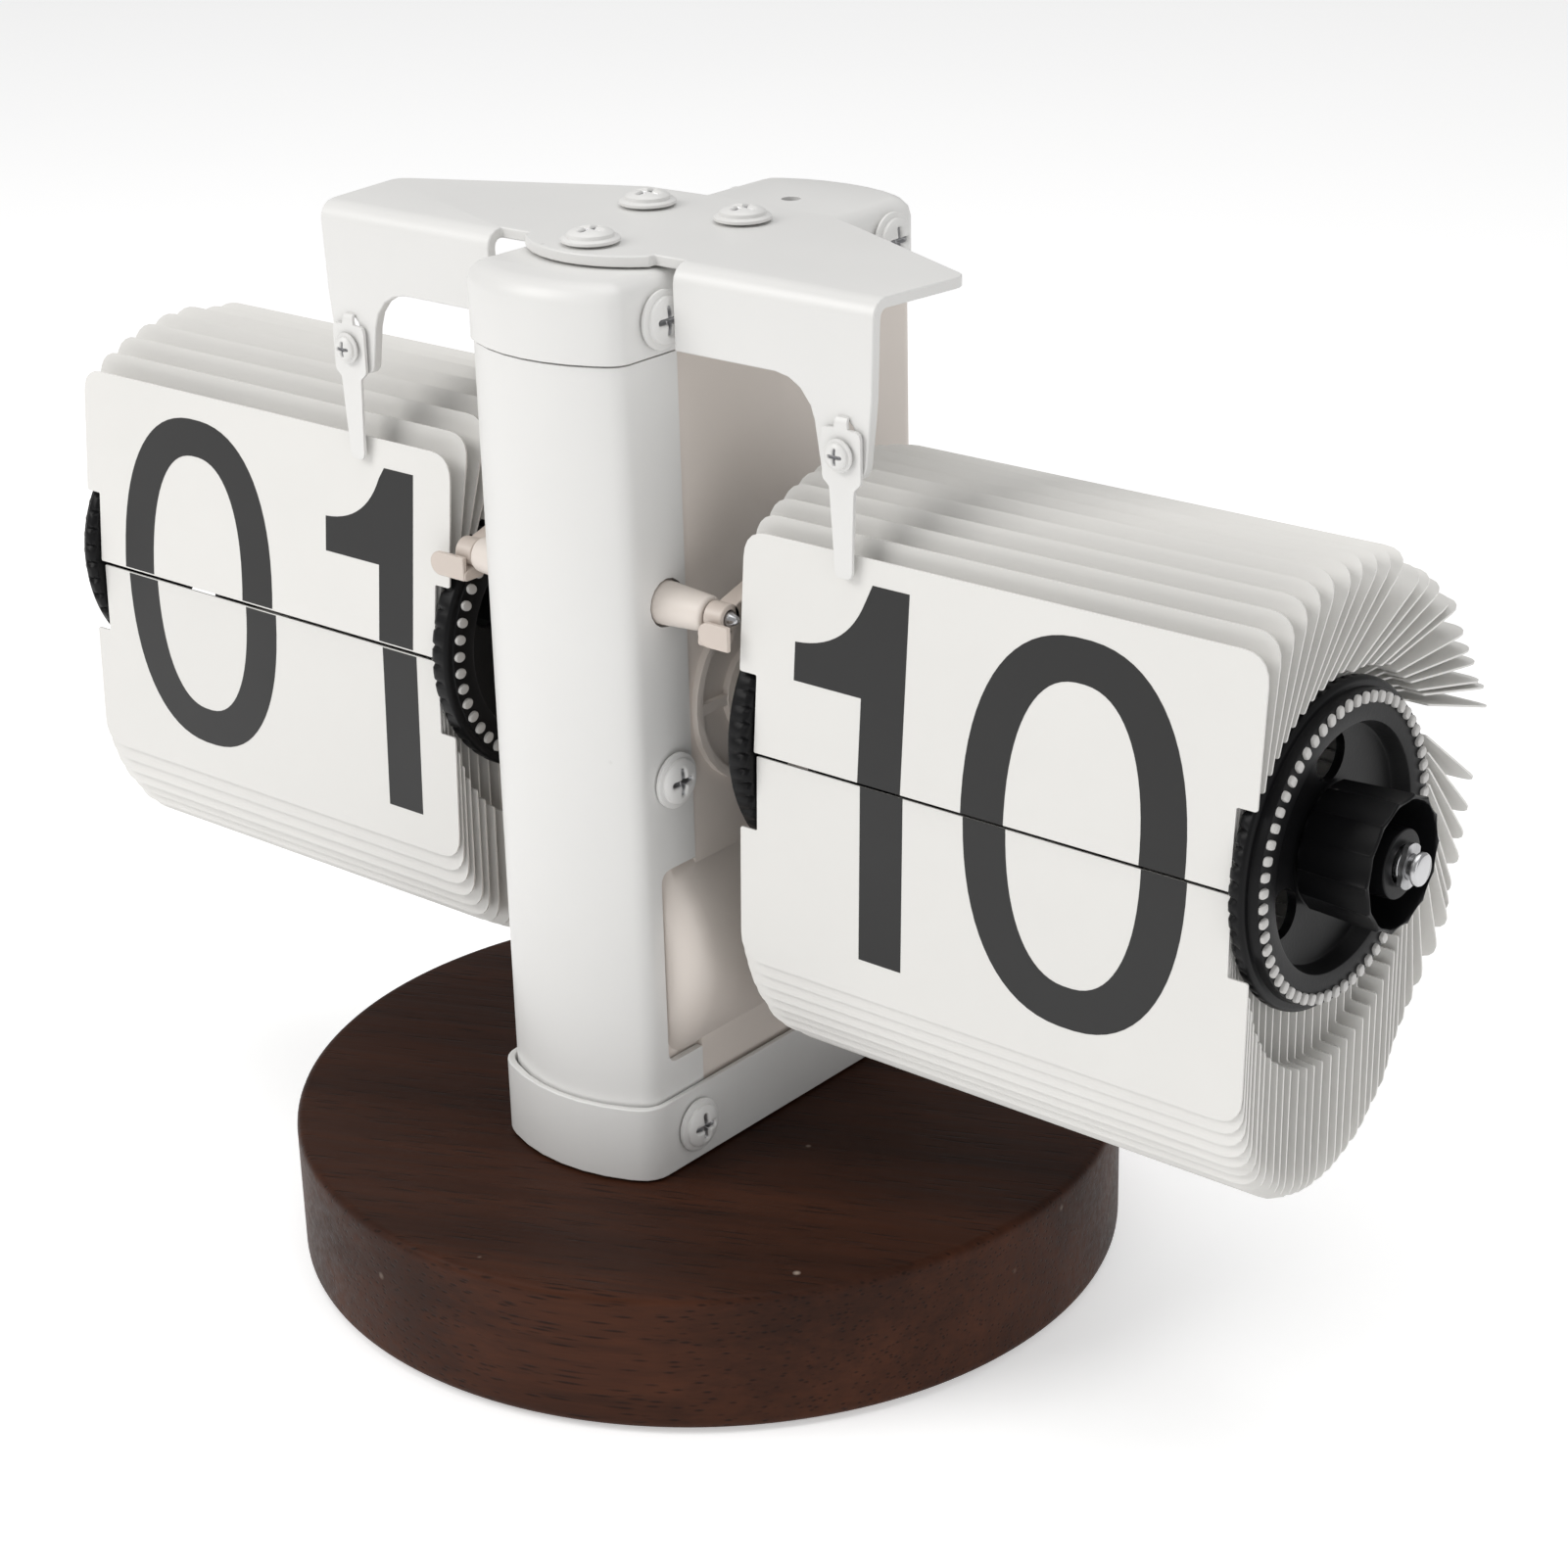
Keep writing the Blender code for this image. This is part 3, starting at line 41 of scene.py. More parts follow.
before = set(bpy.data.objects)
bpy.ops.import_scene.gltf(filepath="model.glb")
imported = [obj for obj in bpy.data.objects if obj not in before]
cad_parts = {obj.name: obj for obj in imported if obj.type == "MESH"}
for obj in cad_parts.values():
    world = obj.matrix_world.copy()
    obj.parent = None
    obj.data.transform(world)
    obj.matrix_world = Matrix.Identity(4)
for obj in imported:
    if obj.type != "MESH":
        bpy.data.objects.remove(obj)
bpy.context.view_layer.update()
MM = 0.001


def middle(node):
    """Centre of a CAD node's box."""
    low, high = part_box(node)
    return (low + high) / 2


def span(node_name):
    """How near to the middle plane a node begins, and how far from it it ends."""
    low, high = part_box(node_name)
    return sorted((abs(low.x), abs(high.x)))


AXLE_Y = middle("minute_axle").y
AXLE_Z = middle("minute_axle").z
CARD_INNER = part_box("minute_upper_card")[0].x
CARD_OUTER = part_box("minute_upper_card")[1].x
BASE_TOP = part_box("base")[1].z
BASE_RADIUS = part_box("base")[1].x
WHEEL_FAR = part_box("minute_outer_wheel")[1].x
HINGE_RADIUS = 17.9 * MM   # hinge lines around the axle
CARD_HEIGHT = 27.4 * MM    # hinge line to free edge
CARD_HEEL = 0.6 * MM       # below the hinge line
CARD_LEAD = 0.6 * MM       # the front card stands this far before its pins
CARD_LEAN = 95.3           # degrees of the front card, 90 being upright
NOTCH_WIDTH = 2.7 * MM
NOTCH_HEIGHT = 9.4 * MM
CARD_CORNER = 3.6 * MM
SIDE_AXIS = {1: "x", -1: "-x"}


GROUPS = {}      # node groups by name
MATERIALS = {}   # finishes by name

# ---------------------------------------------------------------- settings

def colour(label, description, default):
    """A colour setting."""
    return bpy.props.FloatVectorProperty(name=label, description=description, subtype="COLOR",
                                         default=default)


class ClockCards(bpy.types.PropertyGroup):
    """Sizes and colours of the cards."""

    thickness: bpy.props.FloatProperty(
        name="Card thickness", description="Thickness of one card", default=0.25 * MM, unit="LENGTH")
    ink_rise: bpy.props.FloatProperty(
        name="Ink thickness", description="How far the numerals stand on the card", default=0.03 * MM,
        unit="LENGTH")
    stock: colour("Card colour", "Colour of the card stock", (0.77, 0.76, 0.735))
    ink: colour("Numeral colour", "Colour of the numerals", (0.010, 0.0098, 0.0097))


class ClockFinish(bpy.types.PropertyGroup):
    """Colours of the other finishes."""

    paint: colour("Paint", "Colour of the painted sheet metal", (0.74, 0.735, 0.72))
    moulding: colour("White moulding", "Colour of the white plastic", (0.74, 0.675, 0.62))
    black: colour("Black moulding", "Colour of the wheels and the knob", (0.0045, 0.0045, 0.005))
    walnut_dark: colour("Walnut, dark", "Darkest colour of the wood", (0.013, 0.0055, 0.0038))
    walnut_light: colour("Walnut, light", "Lightest colour of the wood", (0.072, 0.025, 0.0125))


class ClockStage(bpy.types.PropertyGroup):
    """Camera and light."""

    focal: bpy.props.FloatProperty(
        name="Focal length", description="Lens of the camera", default=74.4, subtype="DISTANCE_CAMERA")
    key: bpy.props.FloatProperty(name="Key light", description="Power of the key light", default=3.6,
                                 unit="POWER")
    sky: bpy.props.FloatProperty(name="Room light", description="Strength of the room's light", default=0.42)


# ---------------------------------------------------------------- surfaces

def quads(rows, columns, wrap_rows=False, wrap_columns=False):
    """Corner numbers of the quads of a grid of points, row after row, as whole arrays."""
    i = np.arange(rows if wrap_rows else rows - 1)[:, None]
    j = np.arange(columns if wrap_columns else columns - 1)[None, :]
    i2, j2 = (i + 1) % rows, (j + 1) % columns
    i, j, i2, j2 = np.broadcast_arrays(i, j, i2, j2)
    faces = np.stack([i * columns + j, i * columns + j2, i2 * columns + j2, i2 * columns + j], -1)
    return faces.reshape(-1, 4)


class Shell:
    """Collects grids of points and flat outlines, and makes one mesh of them."""

    def __init__(self):
        self.points, self.faces, self.count = [], [], 0
        self.values = []

    def add(self, points, faces, value=0.0):
        """Adds points and the faces between them, and keeps a value for each point."""
        points = np.asarray(points, float).reshape(-1, 3)
        self.points.append(points)
        self.values.append(np.broadcast_to(np.asarray(value, float).reshape(-1), (len(points),)))
        self.faces += (np.asarray(faces) + self.count).tolist() if isinstance(faces, np.ndarray) else [
            [k + self.count for k in face] for face in faces]
        self.count += len(points)

    def grid(self, points, wrap_rows=False, wrap_columns=False, value=0.0):
        """Adds a grid of points, shape (rows, columns, 3)."""
        rows, columns = points.shape[:2]
        self.add(points, quads(rows, columns, wrap_rows, wrap_columns), value)

    def mesh(self, name, attribute=None):
        """Makes the mesh: doubles merged, faces out, with the points' values as an attribute."""
        mesh = bpy.data.meshes.new(name)
        mesh.from_pydata(np.concatenate(self.points), [], self.faces)
        if attribute:
            layer = mesh.attributes.new(attribute, "FLOAT", "POINT")
            layer.data.foreach_set("value", np.concatenate(self.values).astype(np.float32))
        work = bmesh.new()
        work.from_mesh(mesh)
        bmesh.ops.remove_doubles(work, verts=work.verts, dist=1e-7)
        bmesh.ops.recalc_face_normals(work, faces=work.faces)
        work.to_mesh(mesh)
        work.free()
        return mesh

    def piece(self, name, body, finish, nodes=(), smooth=35.0, attribute=None):
        """Makes the object, smooth up to an angle."""
        mesh = self.mesh(name, attribute)
        mesh.shade_smooth()
        mesh.set_sharp_from_angle(angle=math.radians(smooth))
        return finish_piece(bpy.data.objects.new(name, mesh), body, finish, nodes)


def finish_piece(piece, body, finish, nodes=()):
    """Links a piece, gives it its finish and its body, and hides the CAD nodes it stands for."""
    if piece.name not in bpy.context.scene.collection.objects:
        bpy.context.scene.collection.objects.link(piece)
    piece.data.materials.clear()
    piece.data.materials.append(MATERIALS[finish])
    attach(piece, body)
    if nodes:
        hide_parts(*nodes)
    return piece


def fillet(points, radius, steps=3):
    """Rounds every corner of a closed outline: each corner becomes a quadratic arc between two points on
    its sides, radius (or a third of the side) away from it."""
    p = np.asarray(points, float)
    radius = np.broadcast_to(np.asarray(radius, float), (len(p),))
    before, after = np.roll(p, 1, 0) - p, np.roll(p, -1, 0) - p
    lb, la = np.linalg.norm(before, axis=1), np.linalg.norm(after, axis=1)
    rb, ra = np.minimum(radius, lb * 0.45), np.minimum(radius, la * 0.45)
    a = p + before / lb[:, None] * rb[:, None]
    b = p + after / la[:, None] * ra[:, None]
    t = np.linspace(0, 1, steps + 1)[None, :, None]
    arc = (1 - t) ** 2 * a[:, None] + 2 * t * (1 - t) * p[:, None] + t * t * b[:, None]
    return arc.reshape(-1, 2)


AXES = {
    "x": (np.array([1.0, 0, 0]), np.array([0, 1.0, 0]), np.array([0, 0, 1.0])),
    "-x": (np.array([-1.0, 0, 0]), np.array([0, -1.0, 0]), np.array([0, 0, 1.0])),
    "-y": (np.array([0, -1.0, 0]), np.array([1.0, 0, 0]), np.array([0, 0, 1.0])),
    "z": (np.array([0, 0, 1.0]), np.array([1.0, 0, 0]), np.array([0, 1.0, 0])),
}


def lathe(profile, axis, centre, segments, swell=None):
    """Turns a closed profile of (radius, height): point = centre + radius (cos a, sin a) + height along
    the axis, for every angle a; swell(radii, heights, angles) may change the radii."""
    along, u, v = AXES[axis]
    profile = np.asarray(profile, float)
    angle = np.linspace(0, 2 * np.pi, segments, endpoint=False)
    radius = np.repeat(profile[:, 0][:, None], segments, 1)
    height = np.repeat(profile[:, 1][:, None], segments, 1)
    if swell:
        radius = swell(radius, height, angle[None, :])
    ring = np.cos(angle)[None, :, None] * u + np.sin(angle)[None, :, None] * v
    return np.asarray(centre, float) + radius[..., None] * ring + height[..., None] * along


def turned_piece(name, profile, axis, centre, segments, body, finish, nodes, swell=None, loop=True):
    """One turned piece from a closed profile."""
    shell = Shell()
    shell.grid(lathe(profile, axis, centre, segments, swell), wrap_rows=loop, wrap_columns=True)
    return shell.piece(name, body, finish, nodes)


def slab_between(shell, near, far, value=0.0):
    """Closes the space between two copies of one outline, near and far, each (points, 3)."""
    n = len(near)
    k = np.arange(n)
    sides = np.stack([k, (k + 1) % n, (k + 1) % n + n, k + n], -1).tolist()
    shell.add(np.concatenate([near, far]), sides + [list(range(n))[::-1], list(range(n, 2 * n))], value)


def soft_edges(piece, width, segments, angle):
    """Rounds the edges that are sharper than an angle."""
    bevel = piece.modifiers.new("edges", "BEVEL")
    bevel.width, bevel.segments = width, segments
    bevel.limit_method, bevel.angle_limit = "ANGLE", math.radians(angle)
    return bevel


def softened(node_name, body, finish, edge):
    """A CAD node's shape with merged faces and small rounded edges."""
    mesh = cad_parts[node_name].data.copy()
    work = bmesh.new()
    work.from_mesh(mesh)
    bmesh.ops.remove_doubles(work, verts=work.verts, dist=2e-6)
    bmesh.ops.dissolve_limit(work, angle_limit=math.radians(0.6), verts=work.verts, edges=work.edges)
    work.to_mesh(mesh)
    work.free()
    mesh.name = f"{node_name}_shape"
    piece = bpy.data.objects.new(mesh.name, mesh)
    bpy.context.scene.collection.objects.link(piece)
    bevel = soft_edges(piece, edge, 2, 38)
    bevel.harden_normals = False
    bevel.miter_outer = "MITER_ARC"
    mesh.shade_smooth()
    mesh.set_sharp_from_angle(angle=math.radians(50))
    return finish_piece(piece, body, finish, [node_name])


# ---------------------------------------------------------------- materials

def new_material(name):
    """A material, kept by its name: its nodes and its Principled shader."""
    made = bpy.data.materials.new(name)
    made.use_nodes = True
    MATERIALS[name] = made
    return made.node_tree, made.node_tree.nodes["Principled BSDF"]


def feed(tree, target, values):
    """Links or sets a node's inputs, by name or number."""
    for key, value in values.items():
        if isinstance(value, bpy.types.NodeSocket):
            tree.links.new(value, target.inputs[key])
        else:
            target.inputs[key].default_value = value


def node(tree, kind, inputs=None, **settings):
    """Adds a node, sets its properties and its inputs by name or number."""
    made = tree.nodes.new(kind)
    for key, value in settings.items():
        setattr(made, key, value)
    feed(tree, made, inputs or {})
    return made


def object_place(tree):
    """Object coordinates."""
    return node(tree, "ShaderNodeTexCoord").outputs["Object"]


def scaled(tree, vector, scale):
    """Coordinates stretched by a scale along each axis."""
    return node(tree, "ShaderNodeMapping", {"Vector": vector, "Scale": scale}).outputs[0]


def relief(tree, shader, strength, distance, height):
    """Gives the shader a bump from a height."""
    bump = node(tree, "ShaderNodeBump", {"Strength": strength, "Distance": distance, "Height": height})
    feed(tree, shader, {"Normal": bump.outputs[0]})


def noise(tree, vector, scale, detail=3.0, rough=0.5):
    """Noise texture at a scale."""
    return node(tree, "ShaderNodeTexNoise",
                {"Vector": vector, "Scale": scale, "Detail": detail, "Roughness": rough})


def remap(tree, value, low, high, to_low=0.0, to_high=1.0):
    """Maps a range of a value to another."""
    return node(tree, "ShaderNodeMapRange", {0: value, 1: low, 2: high, 3: to_low, 4: to_high}).outputs[0]


def mix_color(tree, factor, a, b):
    """Mixes two colours."""
    made = node(tree, "ShaderNodeMix", data_type="RGBA", blend_type="MIX")
    feed(tree, made, {0: factor, 6: a, 7: b})
    return made.outputs[2]


def math_node(tree, operation, a, b=0.0):
    """One arithmetic step."""
    return node(tree, "ShaderNodeMath", {0: a, 1: b}, operation=operation).outputs[0]


def rgba(color):
    """A colour with full alpha."""
    return (*color[:3], 1.0)


def new_group(name, inputs, outputs):
    """A shader node group with named inputs and outputs."""
    tree = bpy.data.node_groups.new(name, "ShaderNodeTree")
    for label, kind, default in inputs:
        socket = tree.interface.new_socket(label, in_out="INPUT", socket_type=kind)
        if default is not None:
            socket.default_value = default
    for label, kind in outputs:
        tree.interface.new_socket(label, in_out="OUTPUT", socket_type=kind)
    return tree, tree.nodes.new("NodeGroupInput"), tree.nodes.new("NodeGroupOutput")


def surface_group():
    """Clouding: slow and fine variation of a colour and a roughness, and a fine surface height."""
    tree, given, out = new_group(
        "clouding",
        [("Color", "NodeSocketColor", (0.8, 0.8, 0.8, 1)), ("Depth", "NodeSocketFloat", 0.05),
         ("Roughness", "NodeSocketFloat", 0.4), ("Spread", "NodeSocketFloat", 0.08),
         ("Grain Scale", "NodeSocketFloat", 2500.0)],
        [("Color", "NodeSocketColor"), ("Roughness", "NodeSocketFloat"), ("Height", "NodeSocketFloat")])
    where = object_place(tree)
    slow = noise(tree, where, 35.0, 4.0, 0.55).outputs[0]
    fine = noise(tree, where, given.outputs["Grain Scale"], 2.0, 0.6)
    sway = remap(tree, slow, 0.3, 0.7, -1.0, 1.0)
    shade = math_node(tree, "MULTIPLY", sway, given.outputs["Depth"])
    value = math_node(tree, "ADD", shade, 1.0)
    tinted = node(tree, "ShaderNodeHueSaturation", {"Color": given.outputs["Color"], "Value": value})
    spread = math_node(tree, "MULTIPLY", sway, given.outputs["Spread"])
    feed(tree, out, {"Color": tinted.outputs[0], "Height": fine.outputs[0],
                     "Roughness": math_node(tree, "ADD", given.outputs["Roughness"], spread)})
    return tree


def dust_group():
    """Dust: sparse pale specks, as a mask; more of them on faces that point up."""
    tree, given, out = new_group(
        "dust", [("Scale", "NodeSocketFloat", 500.0), ("Amount", "NodeSocketFloat", 0.1)],
        [("Mask", "NodeSocketFloat")])
    where = object_place(tree)
    cells = node(tree, "ShaderNodeTexVoronoi", {"Vector": where, "Scale": given.outputs["Scale"]},
                 feature="F1")
    speck = remap(tree, cells.outputs["Distance"], 0.05, 0.16, 1.0, 0.0)
    chance = math_node(tree, "LESS_THAN",
                       node(tree, "ShaderNodeSeparateColor", {0: cells.outputs["Color"]}).outputs[0],
                       given.outputs["Amount"])
    up = node(tree, "ShaderNodeSeparateXYZ", {0: node(tree, "ShaderNodeNewGeometry").outputs["Normal"]})
    facing = remap(tree, up.outputs[2], -0.2, 0.9, 0.15, 1.0)
    mask = math_node(tree, "MULTIPLY", math_node(tree, "MULTIPLY", speck, chance), facing)
    feed(tree, out, {"Mask": mask})
    return tree


def painted_highlight_group():
    """Painted edge highlight: where the surface turns sharply, as a mask for a lighter colour that stands in
    for light caught on the edges.
    """
    tree, given, out = new_group("painted_edge_highlight", [("Sharpness", "NodeSocketFloat", 0.56)],
                                 [("Mask", "NodeSocketFloat")])
    point = node(tree, "ShaderNodeNewGeometry").outputs["Pointiness"]
    feed(tree, out, {"Mask": remap(tree, point, given.outputs["Sharpness"], 0.6)})
    return tree


def use_group(tree, name, values):
    """Places a node group with its own values."""
    made = tree.nodes.new("ShaderNodeGroup")
    made.node_tree = GROUPS[name]
    feed(tree, made, values)
    return made


def coated(name, color, roughness, depth=0.03, spread=0.05, grain=2500.0, bump=0.04, specular=0.5,
           coat=0.0, highlight_edges=None, dust=0.0, sheen=0.0):
    """A painted or moulded finish: clouding in colour and gloss, fine texture, a painted highlight on sharp
    edges (the edges mixed towards a given colour) and a little dust."""
    tree, shader = new_material(name)
    cloud = use_group(tree, "clouding", {"Color": rgba(color), "Depth": depth, "Roughness": roughness,
                                         "Spread": spread, "Grain Scale": grain})
    tone = cloud.outputs["Color"]
    # painted highlight: sharp edges are mixed towards the given colour, standing in for light caught on them
    if highlight_edges:
        edge = use_group(tree, "painted_edge_highlight", {})
        amount = math_node(tree, "MULTIPLY", edge.outputs[0], highlight_edges[1])
        tone = mix_color(tree, amount, tone, rgba(highlight_edges[0]))
    if dust:
        specks = use_group(tree, "dust", {"Scale": 420.0, "Amount": dust})
        amount = math_node(tree, "MULTIPLY", specks.outputs[0], 0.5)
        tone = mix_color(tree, amount, tone, (0.45, 0.43, 0.41, 1.0))
    relief(tree, shader, bump, 0.2 * MM, cloud.outputs["Height"])
    feed(tree, shader, {"Base Color": tone, "Roughness": cloud.outputs["Roughness"],
                        "Specular IOR Level": specular, "Coat Weight": coat, "Coat Roughness": 0.25,
                        "Sheen Weight": sheen})


def walnut(name, dark, light):
    """Dark walnut: long rings stretched along the grain, fine fibres, short pores and a few specks."""
    tree, shader = new_material(name)
    where = object_place(tree)
    turned = node(tree, "ShaderNodeMapping", {"Vector": where, "Rotation": (0.0, 0.0, math.radians(-24))})
    along = turned.outputs[0]
    stretch = scaled(tree, along, (3.0, 40.0, 40.0))
    wander = noise(tree, stretch, 1.0, 4.0, 0.55)
    bent = node(tree, "ShaderNodeMix", data_type="VECTOR")
    feed(tree, bent, {0: 0.18, 4: stretch, 5: wander.outputs["Color"]})
    bands = noise(tree, bent.outputs[1], 1.3, 6.0, 0.62).outputs[0]
    fibre = noise(tree, scaled(tree, along, (40.0, 900.0, 900.0)), 1.0, 3.0, 0.6).outputs[0]
    pore_space = scaled(tree, along, (110.0, 1500.0, 1500.0))
    pores = node(tree, "ShaderNodeTexVoronoi", {"Vector": pore_space, "Scale": 1.0}, feature="F1")
    pore = remap(tree, pores.outputs["Distance"], 0.12, 0.34, 1.0, 0.0)
    tone = math_node(tree, "ADD", math_node(tree, "MULTIPLY", remap(tree, bands, 0.32, 0.68), 0.75),
                     math_node(tree, "MULTIPLY", remap(tree, fibre, 0.3, 0.7), 0.25))
    ramp = node(tree, "ShaderNodeValToRGB", {0: tone})
    ramp.color_ramp.elements[0].color = rgba(dark)
    ramp.color_ramp.elements[1].color = rgba(light)
    between = ramp.color_ramp.elements.new(0.5)
    between.color = (*[0.6 * a + 0.4 * b for a, b in zip(dark, light)], 1.0)
    color = mix_color(tree, math_node(tree, "MULTIPLY", pore, 0.7), ramp.outputs[0], (0.008, 0.004, 0.003, 1))
    specks = use_group(tree, "dust", {"Scale": 260.0, "Amount": 0.035})
    color = mix_color(tree, math_node(tree, "MULTIPLY", specks.outputs[0], 0.75), color,
                      (0.42, 0.34, 0.28, 1.0))
    feed(tree, shader, {"Base Color": color, "Roughness": remap(tree, fibre, 0.3, 0.7, 0.40, 0.56),
                        "Specular IOR Level": 0.09})
    height = math_node(tree, "SUBTRACT", fibre, math_node(tree, "MULTIPLY", pore, 0.8))
    relief(tree, shader, 0.22, 0.2 * MM, height)


def metal(name, color, roughness, stretch):
    """Steel with fine drawn or turned lines along one direction."""
    tree, shader = new_material(name)
    streak = noise(tree, scaled(tree, object_place(tree), stretch), 1.0, 3.0, 0.6).outputs[0]
    dark = (*[0.72 * c for c in color], 1.0)
    gloss = remap(tree, streak, 0.3, 0.7, roughness - 0.06, roughness + 0.08)
    feed(tree, shader, {"Base Color": mix_color(tree, remap(tree, streak, 0.3, 0.7), rgba(color), dark),
                        "Roughness": gloss, "Metallic": 1.0})
    relief(tree, shader, 0.1, 0.1 * MM, streak)


def painted_screw(name, color):
    """Painted screw: the paint is missing in the cross recess, where zinc shows."""
    tree, shader = new_material(name)
    bare = node(tree, "ShaderNodeAttribute", attribute_name="bare").outputs["Fac"]
    cloud = use_group(tree, "clouding", {"Color": rgba(color), "Depth": 0.03, "Roughness": 0.36,
                                         "Spread": 0.05, "Grain Scale": 2500.0})
    where = object_place(tree)
    ragged = noise(tree, where, 1500.0, 3.0, 0.6).outputs[0]
    mask = remap(tree, math_node(tree, "ADD", bare, math_node(tree, "MULTIPLY", ragged, 0.5)), 0.6, 0.75)
    feed(tree, shader, {"Base Color": mix_color(tree, mask, cloud.outputs["Color"], (0.42, 0.42, 0.43, 1.0)),
                        "Metallic": mask, "Roughness": cloud.outputs["Roughness"]})
    relief(tree, shader, 0.05, 0.2 * MM, cloud.outputs["Height"])


def card_material(name, color):
    """Card stock: warm white with a fine tooth; each card is a shade apart from its neighbours."""
    tree, shader = new_material(name)
    shade = node(tree, "ShaderNodeAttribute", attribute_name="card_shade").outputs["Fac"]
    cloud = use_group(tree, "clouding", {"Color": rgba(color), "Depth": 0.02, "Roughness": 0.52,
                                         "Spread": 0.05, "Grain Scale": 3500.0})
    darker = mix_color(tree, math_node(tree, "MULTIPLY", shade, 0.35), cloud.outputs["Color"],
                       (*[0.84 * c for c in color[:3]], 1.0))
    relief(tree, shader, 0.05, 0.1 * MM, cloud.outputs["Height"])
    feed(tree, shader, {"Base Color": darker, "Roughness": cloud.outputs["Roughness"],
                        "Specular IOR Level": 0.4})


CARRIED = {
    "pad_felt": ["base_pad"],
    "sheet_steel": ["base_bolt", "gear_plate", "contact_plate"],
    "turned_steel": ["contact_spring"],
    "cell_jacket": ["battery"],
    "black_moulding": ["movement_case", "minute_drum_tube", "hour_drum_tube"],
    "gear_nylon": ["motor_pinion", "idler_gear", "minute_gear", "hour_gear", "minute_bush", "hour_bush"],
}


class CLOCK_OT_finishes(bpy.types.Operator):
    """Makes the finishes and gives them to the nodes that keep their CAD shape"""

    bl_idname = "clock.finishes"
    bl_label = "Finishes"

    def execute(self, context):
        look, cards = context.scene.clock_finish, context.scene.clock_cards
        GROUPS["clouding"] = surface_group()
        GROUPS["dust"] = dust_group()
        GROUPS["painted_edge_highlight"] = painted_highlight_group()
        coated("white_paint", look.paint, 0.36, depth=0.015, spread=0.04, grain=1800.0, bump=0.06, coat=0.08,
               dust=0.008)
        coated("white_moulding", look.moulding, 0.42, depth=0.03, spread=0.05, grain=2600.0, bump=0.05)
        # the black moulding gets a painted edge highlight: a lighter black where the surface turns sharply
        coated("black_moulding", look.black, 0.36, depth=0.25, spread=0.06, grain=2200.0, bump=0.07,
               specular=0.15, highlight_edges=((0.02, 0.02, 0.021), 0.35), dust=0.008)
        coated("pin_nylon", (0.52, 0.51, 0.495), 0.3, depth=0.06, spread=0.05)
        coated("gear_nylon", (0.74, 0.71, 0.62), 0.42, depth=0.05, spread=0.05)
        coated("catch_moulding", (0.60, 0.525, 0.47), 0.32, depth=0.04, spread=0.06, bump=0.05)
        coated("numeral_ink", cards.ink, 0.45, depth=0.1, spread=0.05, grain=3200.0, bump=0.03, specular=0.45)
        coated("pad_felt", (0.02, 0.02, 0.021), 0.92, depth=0.4, spread=0.03, grain=1200.0, bump=0.8,
               sheen=0.4)
        coated("cell_jacket", (0.03, 0.10, 0.085), 0.28, depth=0.05, spread=0.04, coat=0.5)
        card_material("card_stock", cards.stock)
        metal("turned_steel", (0.62, 0.62, 0.63), 0.24, (900.0, 40.0, 40.0))
        metal("sheet_steel", (0.50, 0.50, 0.51), 0.34, (60.0, 900.0, 60.0))
        painted_screw("screw_paint", look.paint)
        walnut("walnut", look.walnut_dark, look.walnut_light)
        for finish, names in CARRIED.items():
            for name in names:
                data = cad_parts[name].data
                data.materials.clear()
                data.materials.append(MATERIALS[finish])
        return {"FINISHED"}


# ---------------------------------------------------------------- base and column

class CLOCK_OT_base(bpy.types.Operator):
    """Builds the turned wooden base"""

    bl_idname = "clock.base"
    bl_label = "Wooden base"

    def execute(self, context):
        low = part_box("base")[0].z
        radius, soft = BASE_RADIUS, 1.3 * MM
        recess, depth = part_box("base_pad")[1].x + 0.3 * MM, 1.9 * MM
        bolt_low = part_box("base_bolt")[0].z
        outline = np.array([
            (radius, low), (radius, BASE_TOP), (2.4 * MM, BASE_TOP), (2.4 * MM, bolt_low),
            (5.0 * MM, bolt_low), (5.0 * MM, depth), (recess, depth), (recess, low)])
        rounding = np.array([soft, soft, 0.2 * MM, 0.1 * MM, 0.1 * MM, 0.2 * MM, 0.2 * MM, 0.3 * MM])
        profile = fillet(outline[::-1], rounding[::-1], 5)
        profile = np.concatenate([profile, profile[:1]])
        dense = [profile[0]]
        step = np.linspace(0, 1, 9)[1:, None]
        for a, b in zip(profile[:-1], profile[1:]):
            long = np.linalg.norm(b - a) > 4 * MM
            dense.extend(a + (b - a) * step if long else [b])
        turned_piece("base_wood", np.array(dense)[:-1], "z", (0, 0, 0), 192, "frame", "walnut", ["base"])
        return {"FINISHED"}


class CLOCK_OT_column(bpy.types.Operator):
    """Builds the column's sheet metal and mouldings with rounded edges"""

    bl_idname = "clock.column"
    bl_label = "Column"

    def execute(self, context):
        for name, edge in (("boot_collar", 0.22), ("front_shell", 0.25), ("top_cap", 0.2),
                           ("top_bracket", 0.35)):
            softened(name, "frame", "white_paint", edge * MM)
        softened("rear_housing", "frame", "white_moulding", 0.3 * MM)
        softened("battery_cover", "battery_door", "white_moulding", 0.3 * MM)
        return {"FINISHED"}


SCREWS = {
    "z": ("bracket_screw_front", "bracket_screw_left", "bracket_screw_right"),
    "x": ("cap_screw_right", "shell_screw_right", "boot_screw_right", "rear_screw_right"),
    "-x": ("cap_screw_left", "shell_screw_left", "boot_screw_left", "rear_screw_left"),
    "-y": ("reed_screw_right", "reed_screw_left"),
}


